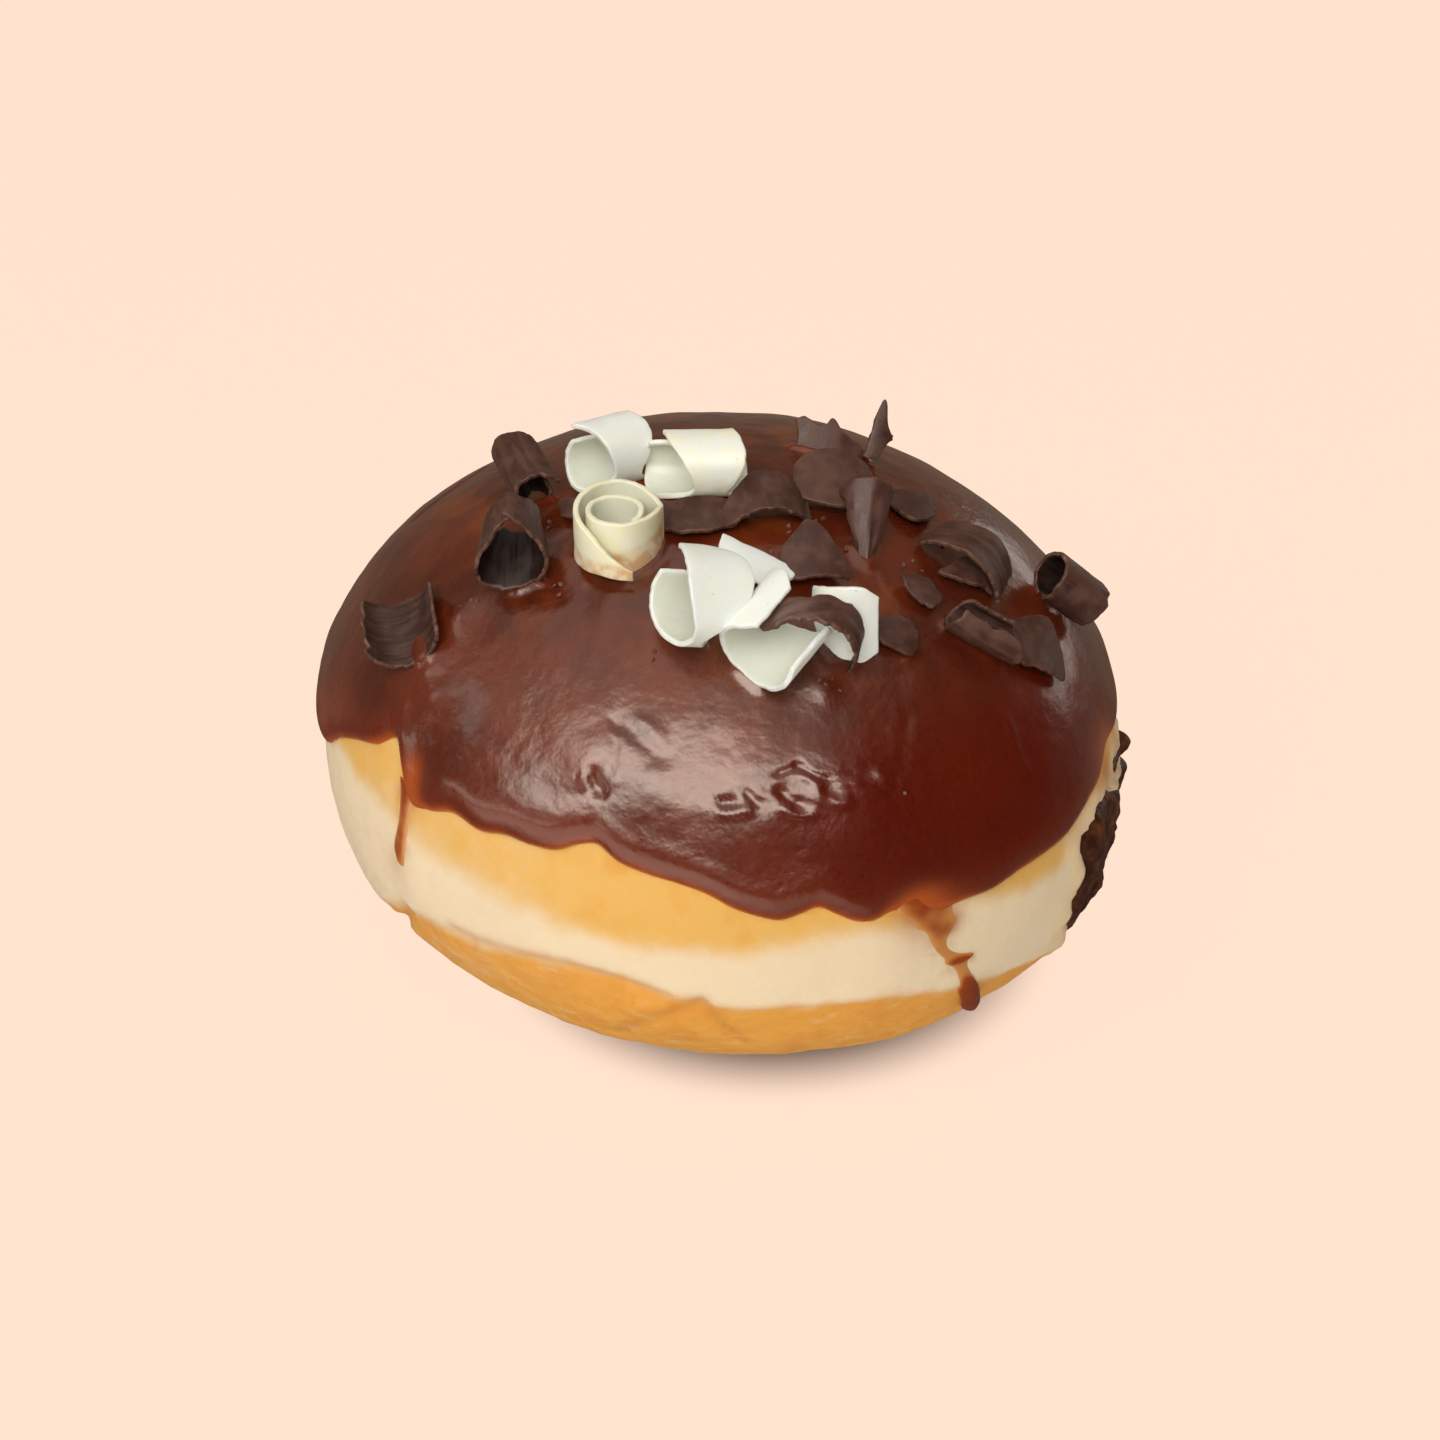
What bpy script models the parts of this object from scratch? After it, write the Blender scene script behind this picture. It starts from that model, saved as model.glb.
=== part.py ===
"""Filled doughnut with a chocolate glaze and chocolate curls.

The bun stands on its flat base with its crown up. The origin is in the base, under the middle of
the bun's widest level. +Z is up, -Y is the front, and the filling shows on the +X side, where it
was piped in. Units are metres.

A place on the bun is given by two angles in degrees: azimuth, round the bun from +X towards +Y,
and down, along the bun's profile from 0 at the top of the crown to 90 at the widest level and
180 under the base.
"""

import math
from typing import NamedTuple

import bmesh
import bpy
import numpy as np
from mathutils import Matrix, Vector

MM = 0.001
FIT_GAP = 0.3 * MM
MERGE_DISTANCE = 0.02 * MM
SHARP_ANGLE = 40.0

# The bun
BUN_RADIUS = 45.0 * MM
CROWN_HEIGHT = 33.6 * MM
CROWN_SHRINK = 0.9 * MM
KEEL_DEPTH = 27.7 * MM
BASE_CUT = 1.2 * MM
CROWN_POWER = 2.13
KEEL_POWER = 2.45
OVAL = 0.03
OVAL_AZIMUTH = -28.0
LEAN = -0.055
CROWN_SLOPE = 0.026
KEEL_SLOPE = 0.055
WIDEST_LEVEL = KEEL_DEPTH - BASE_CUT
BUN_ROWS = 26
BUN_SIDES = 60

# The glaze, whose edge height above the widest level is set at these azimuths
GLAZE_THICKNESS = 1.3 * MM
GLAZE_GAP = 0.4 * MM
DRIP_STAGES = 10
DRIP_COLUMNS = 7
DROP_STARTS = 0.65
DROP_OPENS_OVER = 0.25
DROP_ROUNDNESS = 16
LEAST_DRIP_SHARE = 0.04
GLAZE_ROWS = (0.1, 0.22, 0.34, 0.46, 0.58, 0.69, 0.79, 0.88, 0.95)
GLAZE_BEAD_ROW = 0.99
GLAZE_BEAD_SHARE = 0.8
GLAZE_LIP = 0.1 * MM
GLAZE_SIDES = 90
CUTTER_DEPTH = 5 * MM
GLAZE_EDGE = (
    (-180.0, 7.0 * MM),
    (-167.0, 5.6 * MM),
    (-152.0, 11.2 * MM),
    (-145.5, 12.8 * MM),
    (-140.0, 8.4 * MM),
    (-131.0, 9.6 * MM),
    (-107.0, 10.4 * MM),
    (-91.0, 7.0 * MM),
    (-82.0, 4.2 * MM),
    (-76.0, 5.3 * MM),
    (-69.5, 3.0 * MM),
    (-60.0, 2.4 * MM),
    (-40.0, 3.3 * MM),
    (-24.0, 5.4 * MM),
    (-12.0, 7.6 * MM),
    (10.0, 8.2 * MM),
    (45.0, 5.4 * MM),
    (75.0, 8.6 * MM),
    (110.0, 6.2 * MM),
    (145.0, 9.4 * MM),
)
SCALLOP_HEIGHT = 0.7 * MM
SCALLOPS_ROUND = 29


class Swell(NamedTuple):
    """A soft rise or hollow in the glaze."""

    azimuth: float
    down: float
    radius: float
    height: float


GLAZE_SWELLS = (
    Swell(-50.0, 66.0, 9.0 * MM, -0.5 * MM),
    Swell(-101.0, 55.0, 6.0 * MM, 0.45 * MM),
    Swell(-84.0, 64.0, 5.0 * MM, 0.5 * MM),
    Swell(-67.0, 63.0, 5.0 * MM, 0.5 * MM),
    Swell(-125.0, 68.0, 6.0 * MM, 0.3 * MM),
    Swell(62.0, 40.0, 9.0 * MM, 0.35 * MM),
    Swell(130.0, 50.0, 11.0 * MM, -0.35 * MM),
)


class Drip(NamedTuple):
    """A run of glaze down the bun, from where it leaves the edge to its last drop."""

    start: tuple
    end: tuple
    neck: float
    drop: float
    thickness: float


DRIPS = (
    Drip((-60.0, 84.0), (-50.2, 120.0), 1.0 * MM, 1.5 * MM, 1.5 * MM),
    Drip((-141.2, 68.0), (-141.2, 90.0), 0.8 * MM, 0.7 * MM, 1.1 * MM),
    Drip((38.0, 78.0), (40.0, 101.0), 1.1 * MM, 1.5 * MM, 1.3 * MM),
)

# The filling
POCKET_HALF_SIZE = (17.0 * MM, 15.0 * MM, 8.5 * MM)
POCKET_CENTRE = (4.0 * MM, -1.0 * MM, WIDEST_LEVEL + 0.5 * MM)
POCKET_SIDES = 20
POCKET_LATITUDES = (-75, -56, -37, -18, 0, 18, 37, 56, 75)
CHANNEL_RADIUS = 4.2 * MM
OOZE_AZIMUTH = -14.5
OOZE_DOWN = 101.0
OOZE_HALF_WIDTH = 15.5 * MM
OOZE_HALF_HEIGHT = 8.6 * MM
OOZE_THICKNESS = 0.8 * MM
OOZE_DEPTH = 1.6 * MM
OOZE_RINGS = (0.3, 0.55, 0.78, 0.93)
OOZE_SIDES = 22
OOZE_SCALLOPS = ((0.10, 3, 0.6), (0.07, 5, -1.0), (0.05, 8, 0.0))
OOZE_LUMPS = ((0.22, 4, -0.8, 7.0), (0.14, 7, 0.8, -5.0))
FILLING_GAP = 0.4 * MM

# The shavings
SHAVING_THICKNESS = 0.8 * MM
TURN_OF_A_FACE = 28.0
SHAVING_COLUMNS = 3
LEAST_STAGE_LENGTH = 0.3


class Shaving(NamedTuple):
    """A chocolate shaving, which is a thin sheet rolled about an axis. Lengths are in mm.

    The axis points along heading, a plan direction in degrees from +X, and up by tilt. Each stage
    of the sheet is a line along the axis: its angle round the axis, its radius, and how far it
    goes back and forward from the middle. Angles start a quarter turn to the left of heading, and
    90 is up. The radius changes by flare for each mm forward. The axis is at lift over the glaze.

    A flat shaving's axis is along the glaze instead, with tilt from there and 90 away from the
    glaze, and it is the middle of its sheet that is at lift.
    """

    azimuth: float
    down: float
    lift: float
    heading: float
    tilt: float
    stages: tuple
    flare: float = 0.0
    flat: bool = False
    clear_of: tuple = ()


WHITE_SHAVINGS = {
    "white_curl_1": Shaving(
        -167.5, 11.9, 3.5, -150, 0,
        (
            (150, 2.7, -3.5, 3.0), (180, 2.9, -4.0, 3.5), (225, 3.1, -4.2, 3.9), (270, 3.2, -4.3, 3.9),
            (305, 3.4, -3.6, 2.6), (340, 3.5, -2.5, 0.9), (380, 3.6, -3.6, 1.2), (410, 3.6, -4.2, 1.7),
            (440, 3.7, -4.0, 2.5), (470, 3.9, -3.2, 3.6),
        ),
    ),
    "white_curl_2": Shaving(
        -97, 6.8, 3.3, 178, -3,
        (
            (115, 2.6, -4.5, 4.8), (160, 2.8, -5.2, 5.4), (200, 2.9, -5.4, 5.6), (250, 3.0, -5.6, 5.7),
            (290, 3.1, -5.0, 4.4), (320, 3.2, -3.5, 0.8), (350, 3.2, -4.6, 0.1), (390, 3.3, -5.7, 1.0),
            (430, 3.4, -5.3, 2.4), (472, 3.7, -4.2, 3.4),
        ),
        clear_of=("white_curl_1",),
    ),
    "white_curl_3": Shaving(
        -120, 21.4, 2.5, 61, 90,
        (
            (-200, 2.1, -1.6, 2.0), (-140, 2.3, -2.2, 2.4), (-61, 2.8, -2.8, 2.6), (0, 3.3, -3.0, 2.6),
            (60, 3.5, -3.2, 2.6), (119, 3.6, -3.2, 2.6), (165, 3.7, -3.2, 2.7), (209, 4.1, -3.2, 2.6),
            (240, 4.9, -2.6, 2.0), (270, 4.8, -3.0, 3.0), (299, 4.8, -3.2, 3.6), (345, 4.9, -3.2, 3.5),
            (389, 5.1, -3.4, 2.7), (440, 5.2, -3.6, 1.4), (474, 5.5, -3.8, -1.2), (494, 5.9, -3.8, -2.6),
        ),
    ),
    "white_curl_4": Shaving(
        -90.5, 34, 4.6, -160, 15,
        (
            (160, 3.8, -1.5, 3.5), (200, 4.0, -2.0, 4.0), (235, 4.2, -2.5, 3.8), (270, 4.5, -2.2, 3.1),
            (300, 4.8, -0.5, 2.2), (330, 4.9, 0.2, 1.8), (370, 5.0, -2.6, 2.9), (400, 5.1, -3.6, 3.6),
            (430, 5.2, -3.5, 3.5), (455, 5.2, -2.2, 3.2), (475, 5.2, -0.2, 2.9),
        ),
        clear_of=("white_curl_6",),
    ),
    "white_curl_5": Shaving(
        -75.5, 25.3, 1.5, -33, 0,
        ((74, 8, -4.8, 4.2), (84, 8, -4.4, 4.8), (94, 8, -3.6, 3.6), (104, 8, -2.6, 3.8)),
        flat=True, clear_of=("white_curl_4", "white_curl_6"),
    ),
    "white_curl_6": Shaving(
        -76.5, 39.8, 4.7, 46, 27,
        (
            (-168, 4.1, -2.6, 3.4), (-140, 4.2, -3.8, 4.0), (-90, 4.2, -4.5, 3.6), (-45, 4.2, -4.4, 3.0),
            (0, 4.2, -4.0, 3.6), (45, 4.2, -3.8, 4.8), (80, 4.2, -3.4, 4.6), (105, 4.1, -2.4, 3.2),
        ),
    ),
    "white_curl_7": Shaving(
        -58, 37.0, 1.9, 90, 80,
        (
            (10, 4.2, 0.6, 3.2), (40, 4.2, -2.0, 3.6), (70, 4.2, -3.6, 4.0), (100, 4.2, -4.0, 4.0),
            (125, 4.2, -3.2, 2.8),
        ),
    ),
}

DARK_SHAVINGS = {
    "dark_curl_1": Shaving(
        -178.5, 23.2, 2.4, -69, -10,
        (
            (25, 2.7, -3.0, 4.4), (90, 2.5, -4.6, 4.2), (180, 2.3, -4.8, 3.8), (270, 2.1, -4.6, 3.6),
            (390, 1.6, -3.0, 4.0),
        ),
    ),
    "dark_curl_2": Shaving(
        -143, 31.2, 3.7, -88, -18,
        (
            (88, 3.3, -3.6, 1.2), (130, 3.4, -3.8, 1.6), (180, 3.5, -3.8, 2.2), (225, 3.5, -3.8, 3.0),
            (270, 3.4, -3.6, 3.3), (315, 3.6, -3.6, 3.0), (360, 3.8, -3.8, 2.5), (410, 4.0, -3.8, 1.8),
            (464, 4.4, -3.2, 1.3),
        ),
    ),
    "dark_curl_3": Shaving(
        -155, 51.5, 1.5, -95, 0,
        (
            (205, 3.7, -4.4, 4.2), (235, 3.7, -4.8, 4.9), (270, 3.7, -5.0, 5.0), (305, 3.7, -4.6, 5.0),
            (335, 3.7, -4.8, 4.2),
        ),
        flat=True,
    ),
    "dark_curl_4": Shaving(
        -10.5, 54.9, 2.8, -163, 42,
        (
            (-80, 2.5, -3.4, 2.6), (0, 2.5, -3.6, 3.4), (90, 2.5, -3.6, 3.8), (180, 2.4, -3.2, 3.6),
            (265, 2.4, -3.4, 3.0),
        ),
    ),
    "dark_curl_5": Shaving(
        -57.5, 14.5, 1.8, -82, -4,
        (
            (42, 6.2, -1.2, 2.4), (65, 6.2, -3.4, 3.0), (90, 6.2, -3.6, 2.8), (115, 6.2, -2.2, 3.2),
            (138, 6.2, 0.6, 3.4),
        ),
        flat=True, clear_of=("dark_flake_2",),
    ),
    "dark_curl_6": Shaving(
        -34.5, 25.2, 2.0, 97, 25,
        (
            (5, 1.7, -3.0, 4.2), (50, 1.7, -4.6, 4.7), (95, 1.7, -4.7, 4.6), (140, 1.7, -4.4, 4.7),
            (185, 1.7, -2.4, 3.6),
        ),
        flare=0.15, flat=True,
    ),
    "dark_curl_7": Shaving(
        -21.5, 38.6, 1.9, -105, 0,
        (
            (28, 6, -3.4, 3.2), (60, 6, -3.6, 3.2), (90, 6, -3.2, 3.0), (120, 6, -2.4, 2.6),
            (150, 6, -0.8, 1.6),
        ),
        flat=True,
    ),
    "dark_curl_8": Shaving(
        -35.7, 47.9, 2.0, -11, 0,
        (
            (125, 2.1, -3.4, 3.4), (160, 2.1, -4.2, 4.4), (200, 2.1, -4.2, 4.6), (270, 2.1, -3.8, 4.2),
            (330, 2.1, -3.4, 3.8), (375, 2.1, -2.2, 3.0),
        ),
        flat=True,
    ),
    "dark_curl_9": Shaving(
        -72.0, 43.6, 4.4, -75, -10,
        (
            (-34, 5.6, -0.4, 0.6), (-10, 5.7, -1.4, 1.4), (20, 5.8, -1.7, 1.5), (50, 5.7, -1.6, 1.4),
            (85, 5.2, -1.8, 1.8), (110, 5.1, -1.9, 1.9), (135, 5.4, -1.2, 1.2),
        ),
        clear_of=("white_curl_6", "white_curl_7"),
    ),
    "dark_flake_1": Shaving(
        -92, 13.7, 0.7, 90, 0,
        ((76, 18, -2.2, 2.4), (90, 18, -3.2, 3.0), (104, 18, -1.6, 2.6)),
        flat=True, clear_of=("white_curl_2", "white_curl_3", "dark_curl_5"),
    ),
    "dark_flake_2": Shaving(
        -21.8, 17.3, 2.2, 90, 14,
        (
            (60, 9, -1.2, 1.6), (68, 9, -3.4, 3.3), (90, 9, -4.4, 4.4), (112, 9, -3.4, 3.4),
            (120, 9, -1.0, 1.8),
        ),
        flat=True,
    ),
    "dark_flake_3": Shaving(
        -58.3, 26.6, 1.8, 90, 8,
        (
            (65, 9, -1.3, 0.5), (74, 9, -3.6, 2.3), (81, 9, -3.9, 4.0), (91, 9, -3.4, 3.5),
            (103, 9, -3.0, 1.2), (114, 9, -2.6, -1.4),
        ),
        flat=True, clear_of=("white_curl_5",),
    ),
    "dark_flake_4": Shaving(
        25.7, 18.6, 1.2, 95, 55,
        (
            (62.5, 9, -2.4, 1.1), (67.5, 9, -2.4, 1.6), (73.5, 9, -2.4, 1.0), (83, 9, -2.4, 0.8),
            (88, 9, -2.4, 1.7), (95, 9, -2.4, 0.3), (106, 9, -2.4, -0.6), (117, 9, -2.4, -1.3),
        ),
        flat=True,
    ),
    "dark_flake_5": Shaving(
        20, 25.3, 3.0, 90, 72,
        (
            (74, 3, -3.2, 1.0), (82, 3, -3.4, 3.4), (92, 3, -3.4, 3.2), (104, 3, -3.2, 1.2),
            (116, 3, -1.2, 0.2), (129, 3, -0.6, -0.1),
        ),
        flat=True, clear_of=("dark_flake_4",),
    ),
    "dark_flake_6": Shaving(
        -10, 28.4, 0.8, 90, 0,
        (
            (78, 14, -0.8, 1.6), (84, 14, -2.6, 2.6), (90, 14, -3.2, 3.0), (97, 14, -2.0, 3.2),
            (102, 14, 0.2, 2.4),
        ),
        flat=True,
    ),
    "dark_flake_7": Shaving(
        -25.5, 40.5, 0.9, 90, 0,
        (
            (67, 9, -1.3, -0.7), (73, 9, -1.6, 0.2), (86, 9, -1.8, 2.4), (95, 9, -1.4, 2.0),
            (103, 9, -1.1, 1.2), (114.5, 9, -0.8, -0.1),
        ),
        flat=True, clear_of=("dark_curl_7",),
    ),
    "dark_flake_8": Shaving(
        -38.5, 37.6, 0.9, -10, 0,
        ((60, 4, -0.8, 0.5), (80, 4, -2.4, 1.6), (98, 4, -1.9, 2.4), (118, 4, 0.2, 1.6)),
        flat=True,
    ),
    "dark_flake_9": Shaving(
        -26, 55.6, 0.9, 90, 0,
        (
            (70.5, 12, -0.5, 1.0), (74, 12, -1.8, 1.9), (80.5, 12, -4.4, 3.2), (90, 12, -3.6, 4.3),
            (97, 12, -3.1, 3.0), (104, 12, -2.4, 1.4), (111, 12, -1.5, -1.0),
        ),
        flat=True,
    ),
    "dark_flake_10": Shaving(
        -51.2, 42.3, 0.8, 60, 0,
        ((70, 7, -1.8, 0.8), (85, 7, -2.2, 2.2), (100, 7, -1.6, 1.9), (112, 7, -0.6, 0.5)),
        flat=True,
    ),
    "dark_flake_11": Shaving(
        -152.5, 20.0, 0.8, -75, 0,
        ((66, 3.0, -1.2, 1.4), (90, 3.0, -2.0, 2.0), (112, 3.0, -1.6, 0.8)),
        flat=True,
    ),
}


def clear_scene():
    """Removes every object of the scene."""
    for thing in list(bpy.data.objects):
        bpy.data.objects.remove(thing)


def finish(name, colour, roughness):
    """Returns a plain material."""
    material = bpy.data.materials.new(name)
    material.use_nodes = True
    shader = material.node_tree.nodes["Principled BSDF"]
    shader.inputs["Base Color"].default_value = (*colour, 1.0)
    shader.inputs["Roughness"].default_value = roughness
    shader.inputs["Metallic"].default_value = 0.0
    return material


def profile_point(down, azimuth):
    """Returns points of the bun's skin at angles in radians."""
    crown = down <= math.pi / 2
    power = np.where(crown, CROWN_POWER, KEEL_POWER)
    reach = BUN_RADIUS * np.abs(np.sin(down)) ** (2 / power)
    reach = reach - CROWN_SHRINK * np.where(crown, np.sin(down) * (1 - np.sin(down) ** 8), 0)
    rise = np.where(crown, CROWN_HEIGHT, -KEEL_DEPTH) * np.abs(np.cos(down)) ** (2 / power)
    reach = reach * (1 + OVAL * np.cos(2 * (azimuth - math.radians(OVAL_AZIMUTH))))
    x = reach * np.cos(azimuth)
    y = reach * np.sin(azimuth)
    rise = rise * (1 + np.where(crown, CROWN_SLOPE, KEEL_SLOPE) * x / BUN_RADIUS)
    return np.stack([x + LEAN * rise, y, rise + WIDEST_LEVEL], axis=-1)


def skin_normal(down, azimuth):
    """Returns the skin's outward normals at angles in radians."""
    step = 0.004
    pole = 0.02
    down = np.clip(down, pole, math.pi - pole)
    along = profile_point(down + step, azimuth) - profile_point(down - step, azimuth)
    round_it = profile_point(down, azimuth + step) - profile_point(down, azimuth - step)
    normal = np.cross(along, round_it)
    return normal / np.linalg.norm(normal, axis=-1, keepdims=True)


def on_bun(down, azimuth, height=0.0):
    """Returns points at a height above the skin, at angles in degrees."""
    down, azimuth, height = np.broadcast_arrays(np.radians(down), np.radians(azimuth), height)
    return profile_point(down, azimuth) + skin_normal(down, azimuth) * height[..., None]


def crown_angle(level):
    """Returns the down angle, in degrees, of a level above the widest one."""
    return np.degrees(np.arccos((level / CROWN_HEIGHT) ** (CROWN_POWER / 2)))


def glaze_edge_angle(azimuth):
    """Returns the down angle of the glaze's edge at azimuths in degrees."""
    at, level = np.array(GLAZE_EDGE).T
    at = np.append(at, at[0] + 360)
    level = np.append(level, level[0])
    turned = (np.asarray(azimuth) - at[0]) % 360 + at[0]
    which = np.clip(np.searchsorted(at, turned, side="right") - 1, 0, len(at) - 2)
    share = (turned - at[which]) / (at[which + 1] - at[which])
    share = share * share * (3 - 2 * share)
    smooth = level[which] * (1 - share) + level[which + 1] * share
    scallop = SCALLOP_HEIGHT * np.abs(np.sin(np.radians(turned * SCALLOPS_ROUND / 2)))
    return crown_angle(smooth + scallop)


def distance_on_bun(down, azimuth, swell):
    """Returns rough distances over the skin from a swell's middle."""
    there = on_bun(swell.down, swell.azimuth)
    return np.linalg.norm(on_bun(down, azimuth) - there, axis=-1)


def glaze_height(down, azimuth):
    """Returns the glaze's thickness away from its edge."""
    height = np.full(np.broadcast(down, azimuth).shape, GLAZE_THICKNESS)
    for swell in GLAZE_SWELLS:
        reach = distance_on_bun(down, azimuth, swell) / swell.radius
        height = height + swell.height * np.exp(-(reach**2))
    return height


def solid(name, points, faces, material=None):
    """Returns an object of one closed mesh whose faces point out."""
    shape = bmesh.new()
    corners = [shape.verts.new(point) for point in points]
    for face in faces:
        shape.faces.new([corners[index] for index in face])
    bmesh.ops.recalc_face_normals(shape, faces=shape.faces)
    mesh = bpy.data.meshes.new(name)
    shape.to_mesh(mesh)
    shape.free()
    thing = bpy.data.objects.new(name, mesh)
    bpy.context.scene.collection.objects.link(thing)
    if material:
        mesh.materials.append(material)
    return thing


def ringed_solid(name, first, rings, last, material=None):
    """Returns a closed solid that goes from one point, over rings of points, to another point."""
    sides = len(rings[0])
    points = [first, *(point for ring in rings for point in ring), last]
    faces = []
    for side in range(sides):
        after = (side + 1) % sides
        faces.append((0, 1 + side, 1 + after))
        for row in range(len(rings) - 1):
            here = 1 + row * sides
            faces.append((here + side, here + sides + side, here + sides + after, here + after))
        end = 1 + (len(rings) - 1) * sides
        faces.append((end + side, len(points) - 1, end + after))
    return solid(name, points, faces, material)


def sheet_solid(name, inner, outer, material=None):
    """Returns a closed solid between two grids of points of the same size."""
    rows, columns = inner.shape[:2]
    points = [*inner.reshape(-1, 3), *outer.reshape(-1, 3)]
    over = rows * columns
    faces = []
    for row in range(rows - 1):
        for column in range(columns - 1):
            here = row * columns + column
            quad = (here, here + 1, here + columns + 1, here + columns)
            faces.append(quad[::-1])
            faces.append(tuple(over + index for index in quad))
    border = [column for column in range(columns)]
    border += [row * columns + columns - 1 for row in range(1, rows)]
    border += [(rows - 1) * columns + column for column in range(columns - 2, -1, -1)]
    border += [row * columns for row in range(rows - 2, 0, -1)]
    for here, after in zip(border, border[1:] + border[:1]):
        faces.append((here, after, over + after, over + here))
    return solid(name, points, faces, material)


def combine(target, tool, operation):
    """Joins a tool to a target, or cuts the target with it, and removes the tool."""
    modifier = target.modifiers.new(operation.lower(), "BOOLEAN")
    modifier.operation = operation
    modifier.object = tool
    modifier.solver = "EXACT"
    graph = bpy.context.evaluated_depsgraph_get()
    mesh = bpy.data.meshes.new_from_object(target.evaluated_get(graph))
    target.modifiers.clear()
    target.data = mesh
    bpy.data.objects.remove(tool)


def tidy(thing):
    """Merges points that a cut left together and keeps the largest closed piece."""
    shape = bmesh.new()
    shape.from_mesh(thing.data)
    bmesh.ops.remove_doubles(shape, verts=shape.verts, dist=MERGE_DISTANCE)
    bmesh.ops.dissolve_degenerate(shape, edges=shape.edges, dist=MERGE_DISTANCE / 2)
    left = set(shape.verts)
    pieces = []
    while left:
        piece = {left.pop()}
        edge_of_piece = list(piece)
        while edge_of_piece:
            for edge in edge_of_piece.pop().link_edges:
                for corner in edge.verts:
                    if corner in left:
                        left.remove(corner)
                        piece.add(corner)
                        edge_of_piece.append(corner)
        pieces.append(piece)
    pieces.sort(key=len)
    scraps = [corner for piece in pieces[:-1] for corner in piece]
    bmesh.ops.delete(shape, geom=scraps, context="VERTS")
    shape.to_mesh(thing.data)
    shape.free()


def make_bun(material):
    """Returns the bun, cut flat under its base."""
    azimuth = np.linspace(0, 360, BUN_SIDES, endpoint=False)
    downs = np.linspace(0, 180, BUN_ROWS + 1)
    rings = [on_bun(down, azimuth) for down in downs[1:-1]]
    bun = ringed_solid("dough", on_bun(0, 0), rings, on_bun(180, 0), material)
    shape = bmesh.new()
    shape.from_mesh(bun.data)
    everything = shape.verts[:] + shape.edges[:] + shape.faces[:]
    ground = {"plane_co": (0, 0, 0), "plane_no": (0, 0, -1)}
    bmesh.ops.bisect_plane(shape, geom=everything, dist=MERGE_DISTANCE, clear_outer=True, **ground)
    rim = [edge for edge in shape.edges if edge.is_boundary]
    bmesh.ops.edgeloop_fill(shape, edges=rim)
    bmesh.ops.recalc_face_normals(shape, faces=shape.faces)
    shape.to_mesh(bun.data)
    shape.free()
    return bun


def pocket_and_channel(name, grow):
    """Returns the filling inside the bun: a flat pocket, and the channel from it to the side."""
    middle = Vector(POCKET_CENTRE)
    mouth = Vector(on_bun(OOZE_DOWN, OOZE_AZIMUTH, -0.5 * OOZE_DEPTH))
    around = np.linspace(0, 2 * math.pi, POCKET_SIDES, endpoint=False)
    half = np.array(POCKET_HALF_SIZE) + grow
    rings = []
    for latitude in np.radians(POCKET_LATITUDES):
        flat, high = math.cos(latitude), math.sin(latitude)
        ring = np.stack([np.cos(around) * flat, np.sin(around) * flat, np.full(POCKET_SIDES, high)], axis=-1)
        rings.append(ring * half + np.array(middle))
    low = np.array(middle) - (0, 0, half[2])
    high = np.array(middle) + (0, 0, half[2])
    pocket = ringed_solid(name, low, rings, high)
    axis = (mouth - middle).normalized()
    turn = axis.to_track_quat("Z", "Y").to_matrix()
    rings = []
    reach = CHANNEL_RADIUS + grow
    circle = [turn @ Vector((math.cos(angle), math.sin(angle), 0)) * reach for angle in around[::2]]
    for place in (middle, mouth):
        rings.append([place + corner for corner in circle])
    channel = ringed_solid("channel", middle, rings, mouth)
    combine(pocket, channel, "UNION")
    return pocket


def ooze(grow):
    """Returns the lumpy mass of filling that came out of the bun's side."""
    around = np.linspace(0, 360, OOZE_SIDES, endpoint=False)
    turn = np.radians(around)
    outline = 1 + sum(size * np.cos(count * turn + start) for size, count, start in OOZE_SCALLOPS)
    wide = np.degrees((OOZE_HALF_WIDTH + grow) / BUN_RADIUS)
    tall = np.degrees((OOZE_HALF_HEIGHT + grow) / KEEL_DEPTH)

    def ring(share, height):
        azimuth = OOZE_AZIMUTH + share * outline * wide * np.cos(turn)
        down = OOZE_DOWN + share * outline * tall * np.sin(turn)
        return on_bun(down, azimuth, height)

    rings = []
    for share in OOZE_RINGS:
        lumps = 1 + sum(
            size * np.cos(count * turn + start + twist * share) for size, count, start, twist in OOZE_LUMPS
        )
        rings.append(ring(share, (OOZE_THICKNESS * lumps + grow) * (1 - share**4)))
    rings.append(ring(1.0, -0.3 * OOZE_DEPTH))
    rings.append(ring(0.8, -OOZE_DEPTH - grow))
    rings.append(ring(0.4, -OOZE_DEPTH - grow))
    front = on_bun(OOZE_DOWN, OOZE_AZIMUTH, OOZE_THICKNESS + grow)
    back = on_bun(OOZE_DOWN, OOZE_AZIMUTH, -OOZE_DEPTH - grow)
    return ringed_solid("ooze", front, rings, back)


def make_filling(name, grow=0.0, material=None):
    """Returns the whole filling, grown by a gap where it is to be a cutter."""
    filling = pocket_and_channel(name, grow)
    combine(filling, ooze(grow), "UNION")
    tidy(filling)
    filling.data.materials.clear()
    if material:
        filling.data.materials.append(material)
    return filling


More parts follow.
